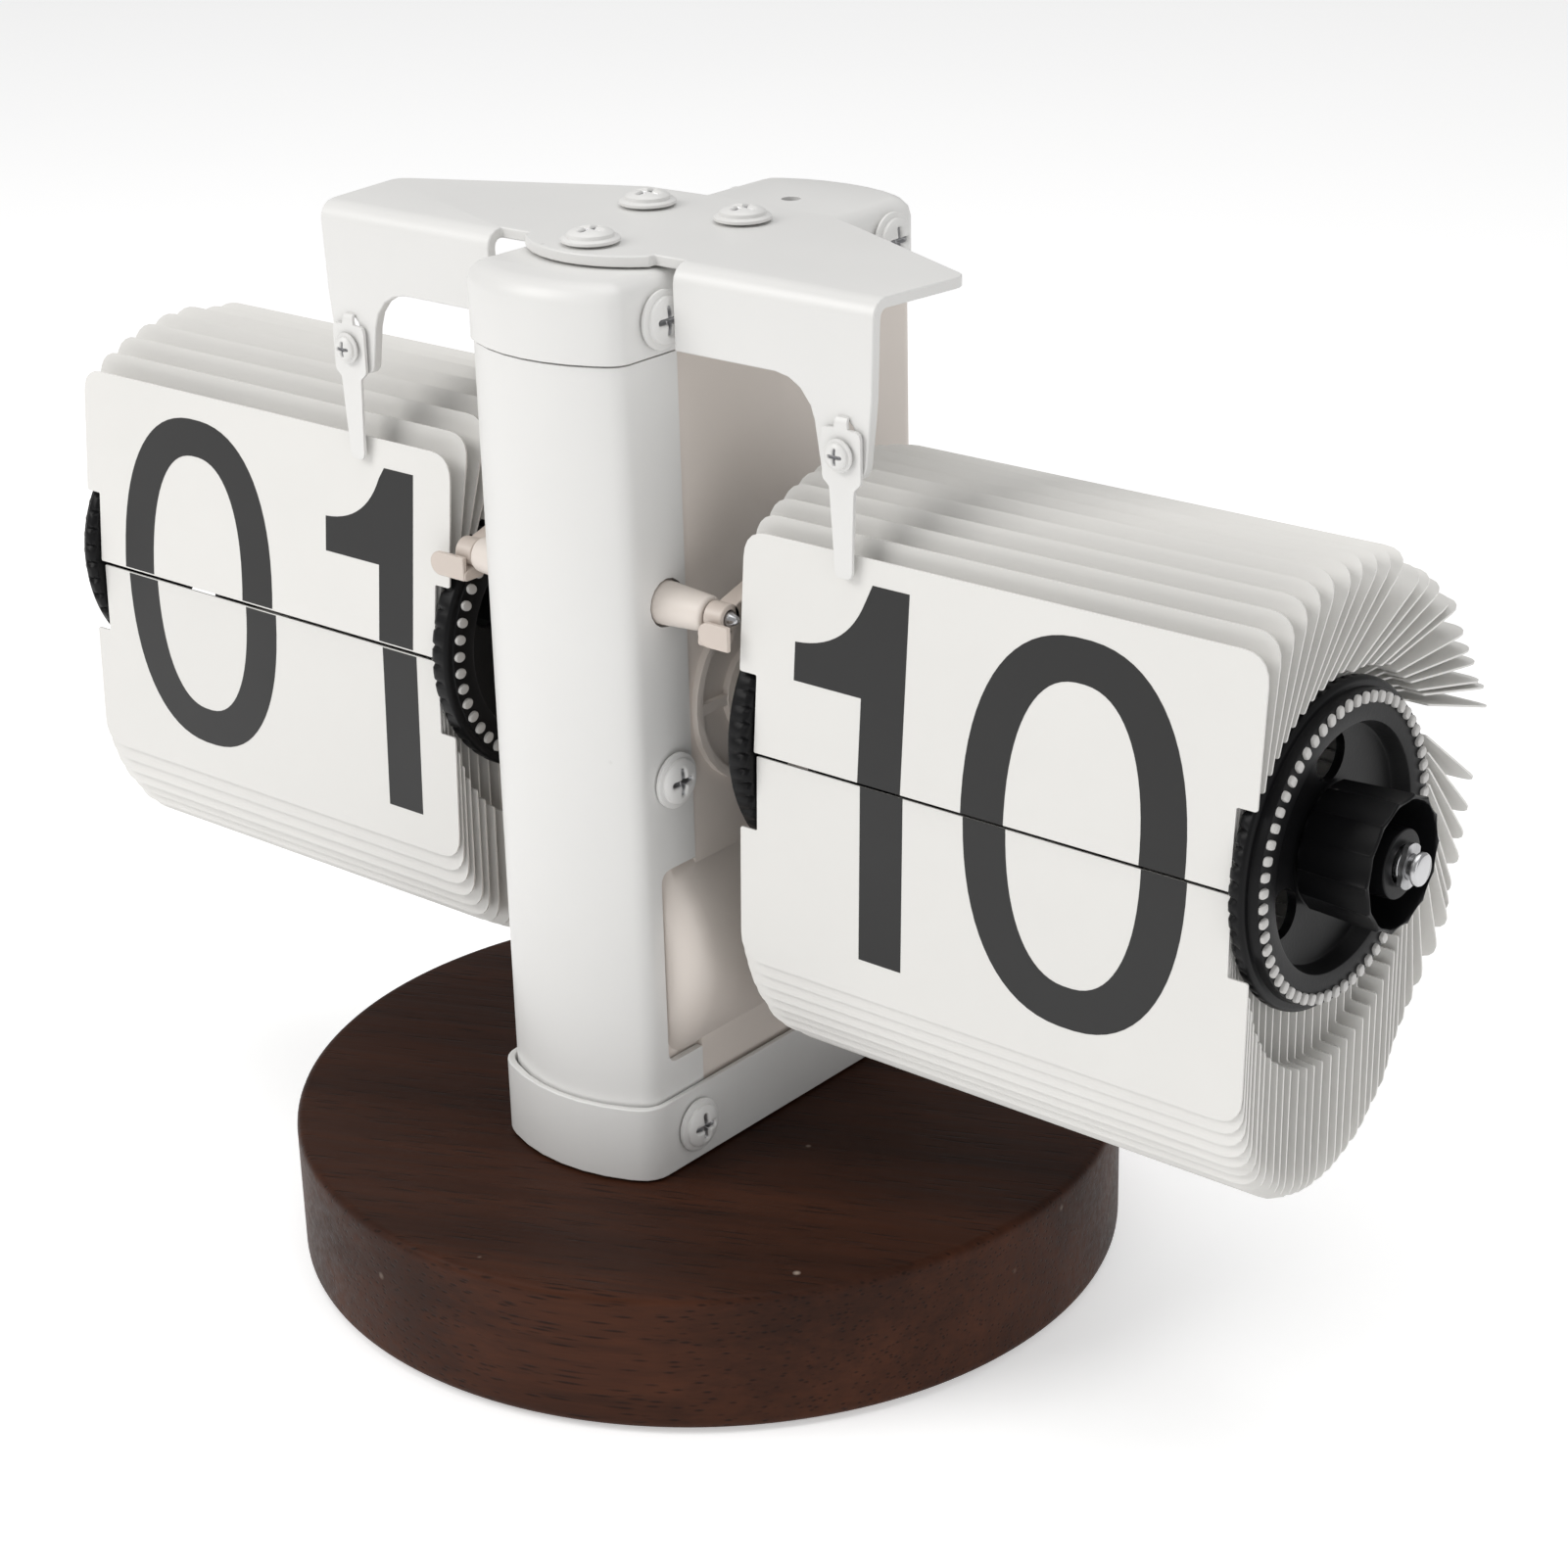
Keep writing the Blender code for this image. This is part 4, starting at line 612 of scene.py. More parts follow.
def screw_piece(name, axis, body):
    """A pan-head screw with its flange and cross recess.  Radius and angle are the grid: the height is a
    dome that meets the flange, less a cross-shaped dip near the middle, and the bare value marks the
    cross."""
    low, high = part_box(name)
    along = AXES[axis][0]
    ends = np.array([low, high]) @ along
    centre = np.array((low + high) / 2)
    centre = centre - along * (centre @ along)
    size = np.sort(np.array(high - low))
    flange = size[-1] / 2 if axis in ("x", "-x") else (high.x - low.x) / 2
    head = 0.79 * flange
    shank = 0.38 * flange
    rise = (1.8 if flange > 3 * MM else 1.2) * MM
    top = ends.max()
    seat, foot = top - rise, ends.min()
    turns = 64
    angle = np.linspace(0, 2 * np.pi, turns, endpoint=False)[None, :] + 0.35
    share = np.concatenate([[0.0], np.linspace(0.06, 1.0, 22)])[:, None]
    radius = share * head + 0 * angle
    dome = seat + 0.36 * rise + 0.64 * rise * np.sqrt(np.clip(1 - share ** 2 * 0.86, 0, 1))
    u, v = radius * np.cos(angle), radius * np.sin(angle)
    arm, reach, deep = 0.115 * head, 0.62 * head, 0.62 * rise
    bar = np.minimum(np.abs(u), np.abs(v))
    inside = 1 / (1 + np.exp((bar - arm) / (0.03 * head)))
    fade = 1 / (1 + np.exp((radius - reach) / (0.035 * head)))
    cross = inside * fade
    height = dome - deep * cross * (1 - 0.45 * radius / head)
    shell = Shell()
    ring = np.cos(angle)[..., None] * AXES[axis][1] + np.sin(angle)[..., None] * AXES[axis][2]
    points = centre + radius[..., None] * ring + height[..., None] * along
    shell.grid(points, wrap_columns=True, value=cross)
    edge = 0.12 * flange
    rim = np.array([
        (head, height[-1, 0]), (head + 0.02 * flange, seat + 0.36 * rise),
        (flange - edge * 0.5, seat + 0.34 * rise), (flange, seat + 0.24 * rise), (flange, seat + 0.06 * rise),
        (flange - edge * 0.4, seat), (shank, seat), (shank, foot + 0.2 * shank), (0.8 * shank, foot),
        (0.0, foot)])
    shell.grid(centre + rim[:, 0, None, None] * ring + rim[:, 1, None, None] * along, wrap_columns=True)
    return shell.piece(f"{name}_head", body, "screw_paint", [name],
                       attribute="bare")


class CLOCK_OT_screws(bpy.types.Operator):
    """Builds the painted screws with their cross recesses"""

    bl_idname = "clock.screws"
    bl_label = "Screws"

    def execute(self, context):
        for axis, names in SCREWS.items():
            for name in names:
                body = {"reed_screw_right": "right_reed", "reed_screw_left": "left_reed"}.get(name, "frame")
                screw_piece(name, axis, body)
        return {"FINISHED"}


class CLOCK_OT_reeds(bpy.types.Operator):
    """Builds the two reeds that hold the cards, and the catches beside the drums"""

    bl_idname = "clock.reeds"
    bl_label = "Reeds and catches"

    def reed(self, name, body):
        """A thin plate carried down a path: at each height it has a left and a right edge, a depth that
        bends back at the tab and forward at the tip, and one thickness."""
        low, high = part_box(name)
        middle_x, thick = (low.x + high.x) / 2, (high.y - low.y)
        top, tip = high.z, low.z - 3.0 * MM
        rows = np.array([
            # height from the tip, half width, shift to +X, depth behind the front
            (0.0, 0.80, 0.10, -0.10), (0.25, 1.15, 0.10, -0.06), (0.7, 1.32, 0.08, 0.0),
            (2.6, 1.40, 0.06, 0.0), (2.75, 1.42, 0.05, 0.0), (6.0, 1.62, 0.02, 0.0), (9.3, 1.82, 0.0, 0.0),
            (9.9, 1.90, 0.0, 0.0), (10.3, 2.35, 0.0, 0.0), (10.6, 2.75, 0.0, 0.0), (11.0, 2.90, 0.0, 0.0),
            (13.0, 2.92, 0.0, 0.0), (15.6, 2.92, 0.0, 0.0), (16.1, 2.75, 0.0, 0.0), (16.35, 2.3, 0.0, 0.0),
            (16.4, 1.05, 0.0, 0.0), (16.9, 0.95, 0.0, 0.0), (17.3, 0.9, 0.0, 0.12), (17.6, 0.85, 0.0, 0.35)])
        rows[:, 0] *= (top - tip) / (17.7 * MM)
        height, half, shift, depth = rows.T * MM
        front = low.y + depth
        left = np.stack([middle_x + shift - half, front, tip + height], -1)
        right = np.stack([middle_x + shift + half, front, tip + height], -1)
        back = np.array([0.0, thick, 0.0])
        shell = Shell()
        shell.grid(np.stack([left, right, right + back, left + back], 1), wrap_columns=True)
        for end in (0, -1):
            shell.add([left[end], right[end], right[end] + back, left[end] + back], [[0, 1, 2, 3]])
        piece = shell.piece(f"{name}_leaf", body, "white_paint", [name], smooth=20)
        soft_edges(piece, 0.08 * MM, 1, 50)

    def catch(self, name, side, y, z):
        """A leaf on the pin: a short hub, a block under it, a tail behind and a tab with a round end in
        front, each an outline carried across to a second copy of itself."""
        near = span(f"catch_post_{name}")[1] + 0.3 * MM
        far = near + 2.8 * MM
        shell = Shell()
        shell.grid(lathe([(1.15 * MM, near), (1.9 * MM, near), (1.9 * MM, far), (1.15 * MM, far)],
                         SIDE_AXIS[side], (0.0, y, z), 32), wrap_rows=True, wrap_columns=True)
        blocks = (((-3.0, -3.2), (0.5, -3.2), (0.9, -1.6), (-0.4, -1.3), (-3.0, -1.9)),
                  ((1.3, -0.5), (6.4, 1.6), (6.2, 3.0), (0.8, 1.4)))
        for corners in blocks:
            flat = fillet(np.array(corners) * MM, 0.5 * MM, 3)
            slab_between(shell, *[np.stack([np.full(len(flat), side * x), y + flat[:, 0], z + flat[:, 1]], -1)
                                  for x in (near, far)])
        half = 1.62 * MM
        round_x, square_x = (-26.4 * MM, -20.3 * MM) if side < 0 else (20.2 * MM, 25.0 * MM)
        turn = np.linspace(-np.pi / 2, np.pi / 2, 15)
        outward = -1 if round_x < square_x else 1
        arc_x = round_x - outward * half + outward * half * np.cos(turn)
        arc_z = half * np.sin(turn)
        flat = np.stack([np.append(arc_x, [square_x, square_x]), np.append(arc_z, [half, -half])], -1)
        front = y - 3.1 * MM
        drop = z - 1.5 * MM
        slab_between(shell, *[np.stack([flat[:, 0], np.full(len(flat), front + back), drop + flat[:, 1]], -1)
                              for back in (0.0, 0.7 * MM)])
        piece = shell.piece(f"card_catch_{name}_leaf", f"{name}_catch",
                              "catch_moulding", [f"card_catch_{name}"])
        soft_edges(piece, 0.14 * MM, 2, 50)

    def execute(self, context):
        self.reed("reed_right", "right_reed")
        self.reed("reed_left", "left_reed")
        for name, side in (("right", 1), ("left", -1)):
            axis = SIDE_AXIS[side]
            low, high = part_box(f"catch_post_{name}")
            centre = (0.0, (low.y + high.y) / 2, (low.z + high.z) / 2)
            near, far = span(f"catch_post_{name}")
            radius = (high.z - low.z) / 2
            profile = fillet([(1.3 * MM, near), (1.3 * MM, far), (0.8 * radius, far), (radius, near)],
                             [0.05 * MM, 0.3 * MM, 0.6 * MM, 0.1 * MM], 4)
            turned_piece(f"catch_post_{name}_turned", profile, axis, centre, 48,
                         "frame", "white_moulding", [f"catch_post_{name}"])
            low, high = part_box(f"catch_pin_{name}")
            near, far = span(f"catch_pin_{name}")
            radius = (high.z - low.z) / 2
            profile = [(0.0, near), (radius, near), (radius, far - 1.5 * MM),
                       (0.86 * radius, far - 1.05 * MM), (0.5 * radius, far - 0.35 * MM),
                       (0.18 * radius, far - 0.05 * MM), (0.0, far)]
            turned_piece(f"catch_pin_{name}_turned", profile, axis, centre, 32,
                         "frame", "turned_steel", [f"catch_pin_{name}"], loop=False)
            self.catch(name, side, (low.y + high.y) / 2, (low.z + high.z) / 2)
        return {"FINISHED"}


# ---------------------------------------------------------------- drums

def combed(count, near, far, place):
    """Swell for a rim whose card side is notched once for each card: past a radius and within a band of
    the height, a narrow rounded dip of the angle is taken off."""
    band = (near, near + 1.0 * MM) if place == "outer" else (far - 1.0 * MM, far)

    def swell(radius, height, angle):
        dip = np.clip(np.cos(count * angle), 0, 1) ** 3
        inside = (radius > 18.9 * MM) & (height >= band[0]) & (height <= band[1])
        return radius - inside * 0.5 * MM * dip
    return swell


def drill_windows(piece, radius, distance, side):
    """Cuts three round windows through a wheel's web, with none behind the split of the front card."""
    for k in range(3):
        angle = math.radians(90 * side + 120 * k)
        centre = (0.0, AXLE_Y + distance * math.cos(angle), AXLE_Z + distance * math.sin(angle))
        start, end = 20 * MM, 110 * MM
        shell = Shell()
        profile = [(0.0, start), (radius, start), (radius, end), (0.0, end)]
        shell.grid(lathe(profile, SIDE_AXIS[side], centre, 24), wrap_columns=True)
        tool = bpy.data.objects.new("window", shell.mesh("window"))
        bpy.context.scene.collection.objects.link(tool)
        cut = piece.modifiers.new("window", "BOOLEAN")
        cut.object, cut.operation, cut.solver = tool, "DIFFERENCE", "EXACT"
        bpy.context.view_layer.update()
        evaluated = piece.evaluated_get(bpy.context.evaluated_depsgraph_get())
        made = bpy.data.meshes.new_from_object(evaluated)
        piece.modifiers.remove(cut)
        piece.data = made
        bpy.data.objects.remove(tool, do_unlink=True)
    piece.data.shade_smooth()
    piece.data.set_sharp_from_angle(angle=math.radians(35))


def wheel_piece(drum, place, side, count, body):
    """One wheel: a serrated flange, a land for the pins, a dished web with windows and a hub."""
    node_name = f"{drum}_{place}_wheel"
    near, far = span(node_name)
    comb = combed(count, near, far, place)
    rim, land_out, land_in, bore = 19.95 * MM, 18.8 * MM, 15.0 * MM, 2.3 * MM
    width = far - near
    if place == "inner":
        near, far, width = far, near, -(far - near)
    lip, web = 0.63 * width, 0.32 * width
    if place == "inner":
        lip, land_out = 0.9 * width, 18.9 * MM
    soft = 0.25 * MM
    plate, collar = near + web + 0.12 * width, near + web + 0.3 * width
    outline = [(bore, near), (rim - 0.5 * MM, near), (rim, near + 0.2 * width),
               (rim, near + lip - 0.1 * width), (rim - 0.45 * MM, near + lip), (land_out, near + lip),
               (land_out, far), (land_in, far), (land_in - 0.5 * MM, near + web), (7.4 * MM, near + web),
               (7.0 * MM, plate), (3.6 * MM, plate), (3.4 * MM, collar), (bore, collar)]
    profile = fillet(outline, [0.05 * MM, 0.2 * MM, 0.3 * MM, 0.3 * MM, 0.2 * MM, 0.15 * MM, soft, soft,
                               0.4 * MM, 0.2 * MM, 0.2 * MM, 0.2 * MM, 0.15 * MM, 0.1 * MM], 2)
    piece = turned_piece(f"{node_name}_turned", profile, SIDE_AXIS[side], (0, AXLE_Y, AXLE_Z), 240, body,
                         "black_moulding", [node_name], comb)
    drill_windows(piece, 3.1 * MM, 10.9 * MM, side)


def pins_piece(drum, count, side, body):
    """Hinge pins: one low cushion for each pin end on both wheels; across the circle it is rounded, and
    its height is a dome of the distance from its middle."""
    turn = 2 * np.pi * (np.arange(count) + 0.5) / count
    long, wide, rise = (0.72, 0.58, 0.5) if drum == "minute" else (0.86, 0.7, 0.5)
    around = np.linspace(0, 2 * np.pi, 12, endpoint=False)
    power = 0.62 if drum == "minute" else 1.0
    cos, sin = np.cos(around), np.sin(around)
    ex, ey = np.sign(cos) * np.abs(cos) ** power, np.sign(sin) * np.abs(sin) ** power
    rings = np.array([(1.0, -0.4), (1.0, 0.55), (0.9, 0.85), (0.6, 1.0), (0.0, 1.0)])
    shell = Shell()
    for face, outward in ((WHEEL_FAR, 1), (CARD_INNER - 1.1 * MM, -1)):
        radial = HINGE_RADIUS + rings[:, 0][None, :, None] * ex[None, None] * long * MM
        across = rings[:, 0][None, :, None] * ey[None, None] * wide * MM + 0 * turn[:, None, None]
        radial = radial + 0 * turn[:, None, None]
        height = rise if outward * side > 0 else 0.4 * rise
        out = face + outward * rings[:, 1][None, :, None] * height * MM + 0 * radial
        c, s = np.cos(turn)[:, None, None], np.sin(turn)[:, None, None]
        y = AXLE_Y - (radial * c - across * s)
        z = AXLE_Z + (radial * s + across * c)
        points = np.stack([side * out, y, z], -1)
        base = quads(len(rings), len(around), wrap_columns=True)
        faces = (base[None] + (np.arange(count) * len(rings) * len(around))[:, None, None]).reshape(-1, 4)
        shell.add(points, faces)
    return shell.piece(f"{drum}_hinge_pins", body, "pin_nylon")


def lobes(radius, height, angle):
    """Swell for a retaining clip: beyond its bore it is full size only in two lobes, above and below."""
    full = np.clip(4 * (np.abs(np.sin(angle + 0.3)) - 0.6), 0, 1)
    return np.where(radius > 2 * MM, radius * (0.66 + 0.34 * full), radius)


class CLOCK_OT_drums(bpy.types.Operator):
    """Builds the wheels with their hinge pins, the axles and the clips"""

    bl_idname = "clock.drums"
    bl_label = "Drums"

    def execute(self, context):
        for drum, side, count in (("minute", 1, 60), ("hour", -1, 48)):
            body = f"{drum}_drum"
            for place in ("inner", "outer"):
                wheel_piece(drum, place, side, count, body)
            pins_piece(drum, count, side, body)
            low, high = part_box(f"{drum}_clip")
            near, far = span(f"{drum}_clip")
            lobed = (high.z - low.z) / 2
            bore = 1.55 * MM
            turned_piece(f"{drum}_clip_lobed", [(bore, near), (lobed, near), (lobed, far), (bore, far)],
                         SIDE_AXIS[side], (0, AXLE_Y, AXLE_Z), 72, body,
                         "sheet_steel", [f"{drum}_clip"], lobes)
            start, end = span(f"{drum}_axle")
            shoulder = 6.3 * MM if side > 0 else 3.0 * MM
            radius, neck, groove, lip = 2.0 * MM, 1.5 * MM, near - 0.05 * MM, end - 0.8 * MM
            profile = [(0.0, start), (1.0 * MM, start), (1.0 * MM, shoulder), (radius, shoulder),
                       (radius, groove - 0.05 * MM), (radius - 0.05 * MM, groove), (neck, groove),
                       (neck, lip), (radius - 0.08 * MM, lip), (radius, lip + 0.08 * MM),
                       (radius, end - 0.3 * MM), (radius - 0.1 * MM, end - 0.12 * MM),
                       (radius - 0.3 * MM, end), (0.5 * MM, end - 0.02 * MM), (0.0, end - 0.02 * MM)]
            turned_piece(f"{drum}_axle_turned", profile, SIDE_AXIS[side], (0, AXLE_Y, AXLE_Z), 48,
                         body, "turned_steel", [f"{drum}_axle"], loop=False)
        return {"FINISHED"}


class CLOCK_OT_knob(bpy.types.Operator):
    """Builds the fluted setting knob"""

    bl_idname = "clock.knob"
    bl_label = "Setting knob"

    def execute(self, context):
        low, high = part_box("setting_knob")
        start, end = low.x, high.x
        outer = (high.z - low.z) / 2
        wall, floor, hub, bore = 0.85 * MM, start + 2.4 * MM, 4.2 * MM, 2.3 * MM
        outline = [(bore, start), (outer - 0.55 * MM, start), (outer - 0.05 * MM, end), (outer - wall, end),
                   (outer - wall - 0.2 * MM, floor), (hub + 0.1 * MM, floor), (hub, end - 0.2 * MM),
                   (bore, end - 0.2 * MM)]
        profile = fillet(outline, [0.1 * MM, 0.4 * MM, 0.3 * MM, 0.3 * MM, 0.5 * MM, 0.5 * MM, 0.25 * MM,
                                   0.2 * MM], 4)

        def flutes(radius, height, angle):
            """Fourteen hollow flutes on the outside with ridges between them: radius less a depth times a
            power of the sine that stays near one and drops to nothing at each ridge."""
            hollow = np.abs(np.sin(7 * angle)) ** 0.7
            side_only = np.clip((radius - (outer - 0.8 * MM)) / (0.4 * MM), 0, 1)
            return radius - 0.5 * MM * hollow * side_only

        turned_piece("setting_knob_fluted", profile, "x", (0, AXLE_Y, AXLE_Z), 288, "minute_drum",
                     "black_moulding", ["setting_knob"], flutes)
        return {"FINISHED"}


# ---------------------------------------------------------------- cards

# how the pack of cards fans out: degrees around the axle from the front split, degrees of a card there
FAN = np.array([
    (0.0, 93.5), (3.0, 94.7), (31.5, 117.7), (61.0, 144.0), (72.0, 155.6), (84.0, 167.0), (91.0, 173.0),
    (100.0, 180.0), (109.0, 188.0), (116.0, 192.5), (128.0, 198.0), (130.4, 199.0), (130.6, 212.0),
    (133.0, 215.0), (139.5, 222.0), (145.6, 228.6), (159.0, 241.0), (172.5, 246.0), (181.6, 258.0),
    (193.8, 267.5), (200.0, 270.0), (300.0, 270.4), (345.0, 271.4), (360.0, 272.2)])


def card_places(count):
    """Hinge points (y, z) and directions in degrees of every card, from the front upper card round: the
    fan's direction at each hinge, plus two small sines so that the cards don't stand in perfect order."""
    index = np.arange(count)
    turn = 360.0 * (index + 0.5) / count
    lean = np.interp(turn, FAN[:, 0], FAN[:, 1])
    ripple = 1.5 * np.sin(index * 2.399) + 1.2 * np.sin(index * 1.13 + 1.0)
    ripple = ripple * np.exp(-((turn - 85) / 50) ** 2)
    lean = np.where((index > 4) & (turn < 126), lean + ripple, lean)
    lean = np.where(turn > 133, lean + 0.5 * np.sin(index * 1.7) * (turn < 330), lean)
    lean[0] = CARD_LEAN
    y = AXLE_Y - HINGE_RADIUS * np.cos(np.radians(turn))
    z = AXLE_Z + HINGE_RADIUS * np.sin(np.radians(turn))
    lead = np.zeros(count)
    lead[:3] = CARD_LEAD, 0.22 * MM, 0.05 * MM
    lead[-1] = 0.15 * MM
    return y - lead, z, lean


def card_outline(heel):
    """A card's outline, (across, up), notched at both ends of its hinge line."""
    half = (CARD_OUTER - CARD_INNER) / 2
    inner = half - NOTCH_WIDTH
    right = [(inner, -heel), (inner, NOTCH_HEIGHT), (half, NOTCH_HEIGHT), (half, CARD_HEIGHT)]
    points = [(-x, s) for x, s in right[::-1]] + right
    points = points[4:] + points[:4]
    radii = np.array([0.2, 0.3, 0.4, 0.0, 0.0, 0.4, 0.3, 0.2]) * MM
    radii[3:5] = CARD_CORNER
    return fillet(points, radii, 5)


def on_card(points, side, y, z, lean, rise):
    """Points (across, up) of a card carried to its place: along the card's direction, and rise towards
    the side that carries the upper half of its number."""
    lean = np.radians(lean)
    along = np.array([0.0, -np.cos(lean), np.sin(lean)])
    normal = np.array([0.0, -np.sin(lean), -np.cos(lean)])
    middle_x = side * (CARD_INNER + CARD_OUTER) / 2
    points = np.asarray(points, float)
    start = np.array([middle_x, y, z])
    return (start + points[..., :1] * np.array([1.0, 0, 0]) + points[..., 1:2] * along + rise * normal)


def cards_shell(indexes, count, side, thickness):
    """Flat cards: each is its outline carried to both faces, with a shade value of its own."""
    y, z, lean = card_places(count)
    outline = card_outline(CARD_HEEL if side > 0 else 1.3 * CARD_HEEL)
    shell = Shell()
    for i in indexes:
        near, far = (on_card(outline, side, y[i], z[i], lean[i], rise)
                     for rise in (thickness / 2, -thickness / 2))
        slab_between(shell, near, far, 0.5 + 0.5 * math.sin(i * 12.9898))
    return shell


# numerals: strips between two edges, in millimetres from the middle of the card and from the split

ZERO = (15.7, 24.15, 9.5, 18.85)


def superellipse(a, b, start, stop, power=2.35, steps=40):
    """Points of |x/a|^n + |y/b|^n = 1 between two angles."""
    t = np.radians(np.linspace(start, stop, steps))
    c, s = np.cos(t), np.sin(t)
    across, up = (np.sign(w) * np.abs(w) ** (2 / power) for w in (c, s))
    return np.stack([a * across, b * up], -1)


def clipped(outer, inner, low, high):
    """Keeps a strip between two heights by moving what lies beyond onto the limit."""
    edges = []
    for edge in (outer, inner):
        edge = edge.copy()
        edge[:, 1] = np.clip(edge[:, 1], low, high)
        edges.append(edge)
    return tuple(edges)


def zero_strip(x, upper, low, high, less):
    """Half of a nought: the ring between two superellipses; less is taken off its height."""
    a, b, c, d = np.array(ZERO) - np.array([0.0, less, 0.0, less])
    angles = (-8, 188) if upper else (172, 368)
    outer = superellipse(a, b, *angles) + np.array([x, 0.95])
    inner = superellipse(c, d, *angles) + np.array([x, 0.95])
    return [clipped(outer, inner, low, high)]


def one_strips(x, upper, low, high, less):
    """Half of a one: a stem, and in the upper half a flag with a hollow upper edge."""
    left, right, top = x - 3.25, x + 3.25, 25.2 - less
    if not upper:
        return [(np.array([(left, low), (left, high)]), np.array([(right, low), (right, high)]))]
    stem = (np.array([(left, low), (left, 11.0), (left, 22.9), (left + 1.0, top)]),
            np.array([(right, low), (right, 11.0), (right, 22.9), (right, top)]))
    t = np.linspace(0, 1, 14)
    start, bend, end = np.array([left - 10.4, 15.9]), np.array([left - 2.6, 16.3]), np.array([left, 22.9])
    curve = ((1 - t) ** 2)[:, None] * start + (2 * t * (1 - t))[:, None] * bend + (t * t)[:, None] * end
    floor = np.stack([curve[:, 0], np.full(14, 11.0)], -1)
    return [stem, (floor, curve)]


def ribbon(path, half=3.1):
    """A strip of constant width along a path: its two edges are the path moved along its normals."""
    step = np.gradient(path, axis=0)
    normal = np.stack([-step[:, 1], step[:, 0]], -1)
    normal /= np.linalg.norm(normal, axis=1)[:, None]
    return path + normal * half, path - normal * half


def other_strips(numeral, x, upper, low, high):
    """Halves of a two, a three and a nine, as ribbons along arcs."""
    arc = {
        ("2", True): superellipse(11.6, 10.5, 172, -20, 2.1) + (x, 13.2),
        ("3", True): superellipse(11.2, 9.6, 165, -78, 2.1) + (x, 12.6),
        ("3", False): superellipse(12.3, 11.0, 72, -165, 2.1) + (x, -10.7),
        ("9", True): superellipse(12.4, 12.4, -60, 300, 2.2) + (x, 11.0),
        ("9", False): superellipse(12.4, 12.2, 20, -150, 2.2) + (x, -8.6),
    }.get((numeral, upper))
    if arc is not None:
        return [clipped(*ribbon(arc), low, high)]
    slope = np.linspace((x + 6.5, 1.5), (x - 12.0, -19.5), 12)
    foot = tuple(np.array([(x - 15.5, height), (x + 15.5, height)]) for height in (-23.6, -17.6))
    return [clipped(*ribbon(slope, 3.3), low, high), foot]


def numeral_strips(text, upper, side):
    """The strips of a two-figure number's half."""
    low, high = (0.35, 30.0) if upper else (-30.0, -0.3)
    less = 0.4 if upper and side < 0 else 0.0
    strips = []
    for numeral, place in zip(text, (-1, 1)):
        x = {("0", 1): 12.95, ("0", -1): -13.3, ("1", -1): -14.95, ("1", 1): 27.1}.get(
            (numeral, place), 13.4 * place)
        if text == "11" and place > 0:
            x = 13.0
        if numeral == "0":
            strips += zero_strip(x, upper, low, high, less)
        elif numeral == "1":
            bottom = -23.2 if not upper else low
            strips += one_strips(x, upper, bottom, high, 1.7 * less)
        else:
            strips += other_strips(numeral, x, upper, low, high)
    return strips


def numeral_piece(name, text, upper, side, place, face, body, rise):
    """Numerals as thin closed strips on a card.  A strip is the grid (step along it, corner of its
    section); face is 1 for the side with the upper half and -1 for the other."""
    y, z, lean = place
    thickness = bpy.context.scene.clock_cards.thickness
    shell = Shell()
    for outer, inner in numeral_strips(text, upper, side):
        corners = []
        for edge, depth in ((outer, rise), (inner, rise), (inner, -0.02 * MM), (outer, -0.02 * MM)):
            flat = edge * MM
            up = (flat[:, 1] - 0.94 * MM) if upper else (-flat[:, 1] - 0.94 * MM)
            flat = np.stack([flat[:, 0], up], -1)
            corners.append(on_card(flat, side, y, z, lean, face * (thickness / 2 + depth)))
        section = np.stack(corners, 1)
        shell.grid(section, wrap_columns=True)
        shell.add(section[0], [[0, 1, 2, 3]])
        shell.add(section[-1], [[3, 2, 1, 0]])
    return shell.piece(name, body, "numeral_ink")


class CLOCK_OT_cards(bpy.types.Operator):
    """Builds every card of both drums, and the numerals on those that show"""

    bl_idname = "clock.cards"
    bl_label = "Cards"

    def execute(self, context):
        settings = context.scene.clock_cards
        thick, rise = settings.thickness, settings.ink_rise
        for drum, side, count, texts in (("minute", 1, 60, ("10", "11", "32")),
                                         ("hour", -1, 48, ("01", "01", "09"))):
            now, following, parted = texts
            y, z, lean = card_places(count)
            places = list(zip(y, z, lean))
            parting = round(130.5 / 360 * count)
            for name, indexes, body, nodes in (
                    ("front_card", [0], f"{drum}_card", [f"{drum}_upper_card"]),
                    ("waiting_cards", range(1, parting), "frame", [f"{drum}_cards_waiting"]),
                    ("fallen_cards", range(parting, count), "frame", [f"{drum}_cards_fallen"])):
                cards_shell(indexes, count, side, thick).piece(
                    f"{drum}_{name}", body, "card_stock", nodes, attribute="card_shade")
            for label, text, upper, index, face, body in (
                    ("front_upper", now, True, 0, 1, f"{drum}_card"),
                    ("front_lower", now, False, count - 1, -1, "frame"),
                    ("front_reverse", following, False, 0, -1, f"{drum}_card"),
                    ("next_upper", following, True, 1, 1, "frame"),
                    ("parting_upper", parted, True, parting, 1, "frame"),
                    ("parting_lower", parted, False, parting - 1, -1, "frame")):
                numeral_piece(f"{drum}_numerals_{label}", text, upper, side, places[index], face, body, rise)
        return {"FINISHED"}


# ---------------------------------------------------------------- stage

WHITE = (1.0, 1.0, 1.0, 1.0)


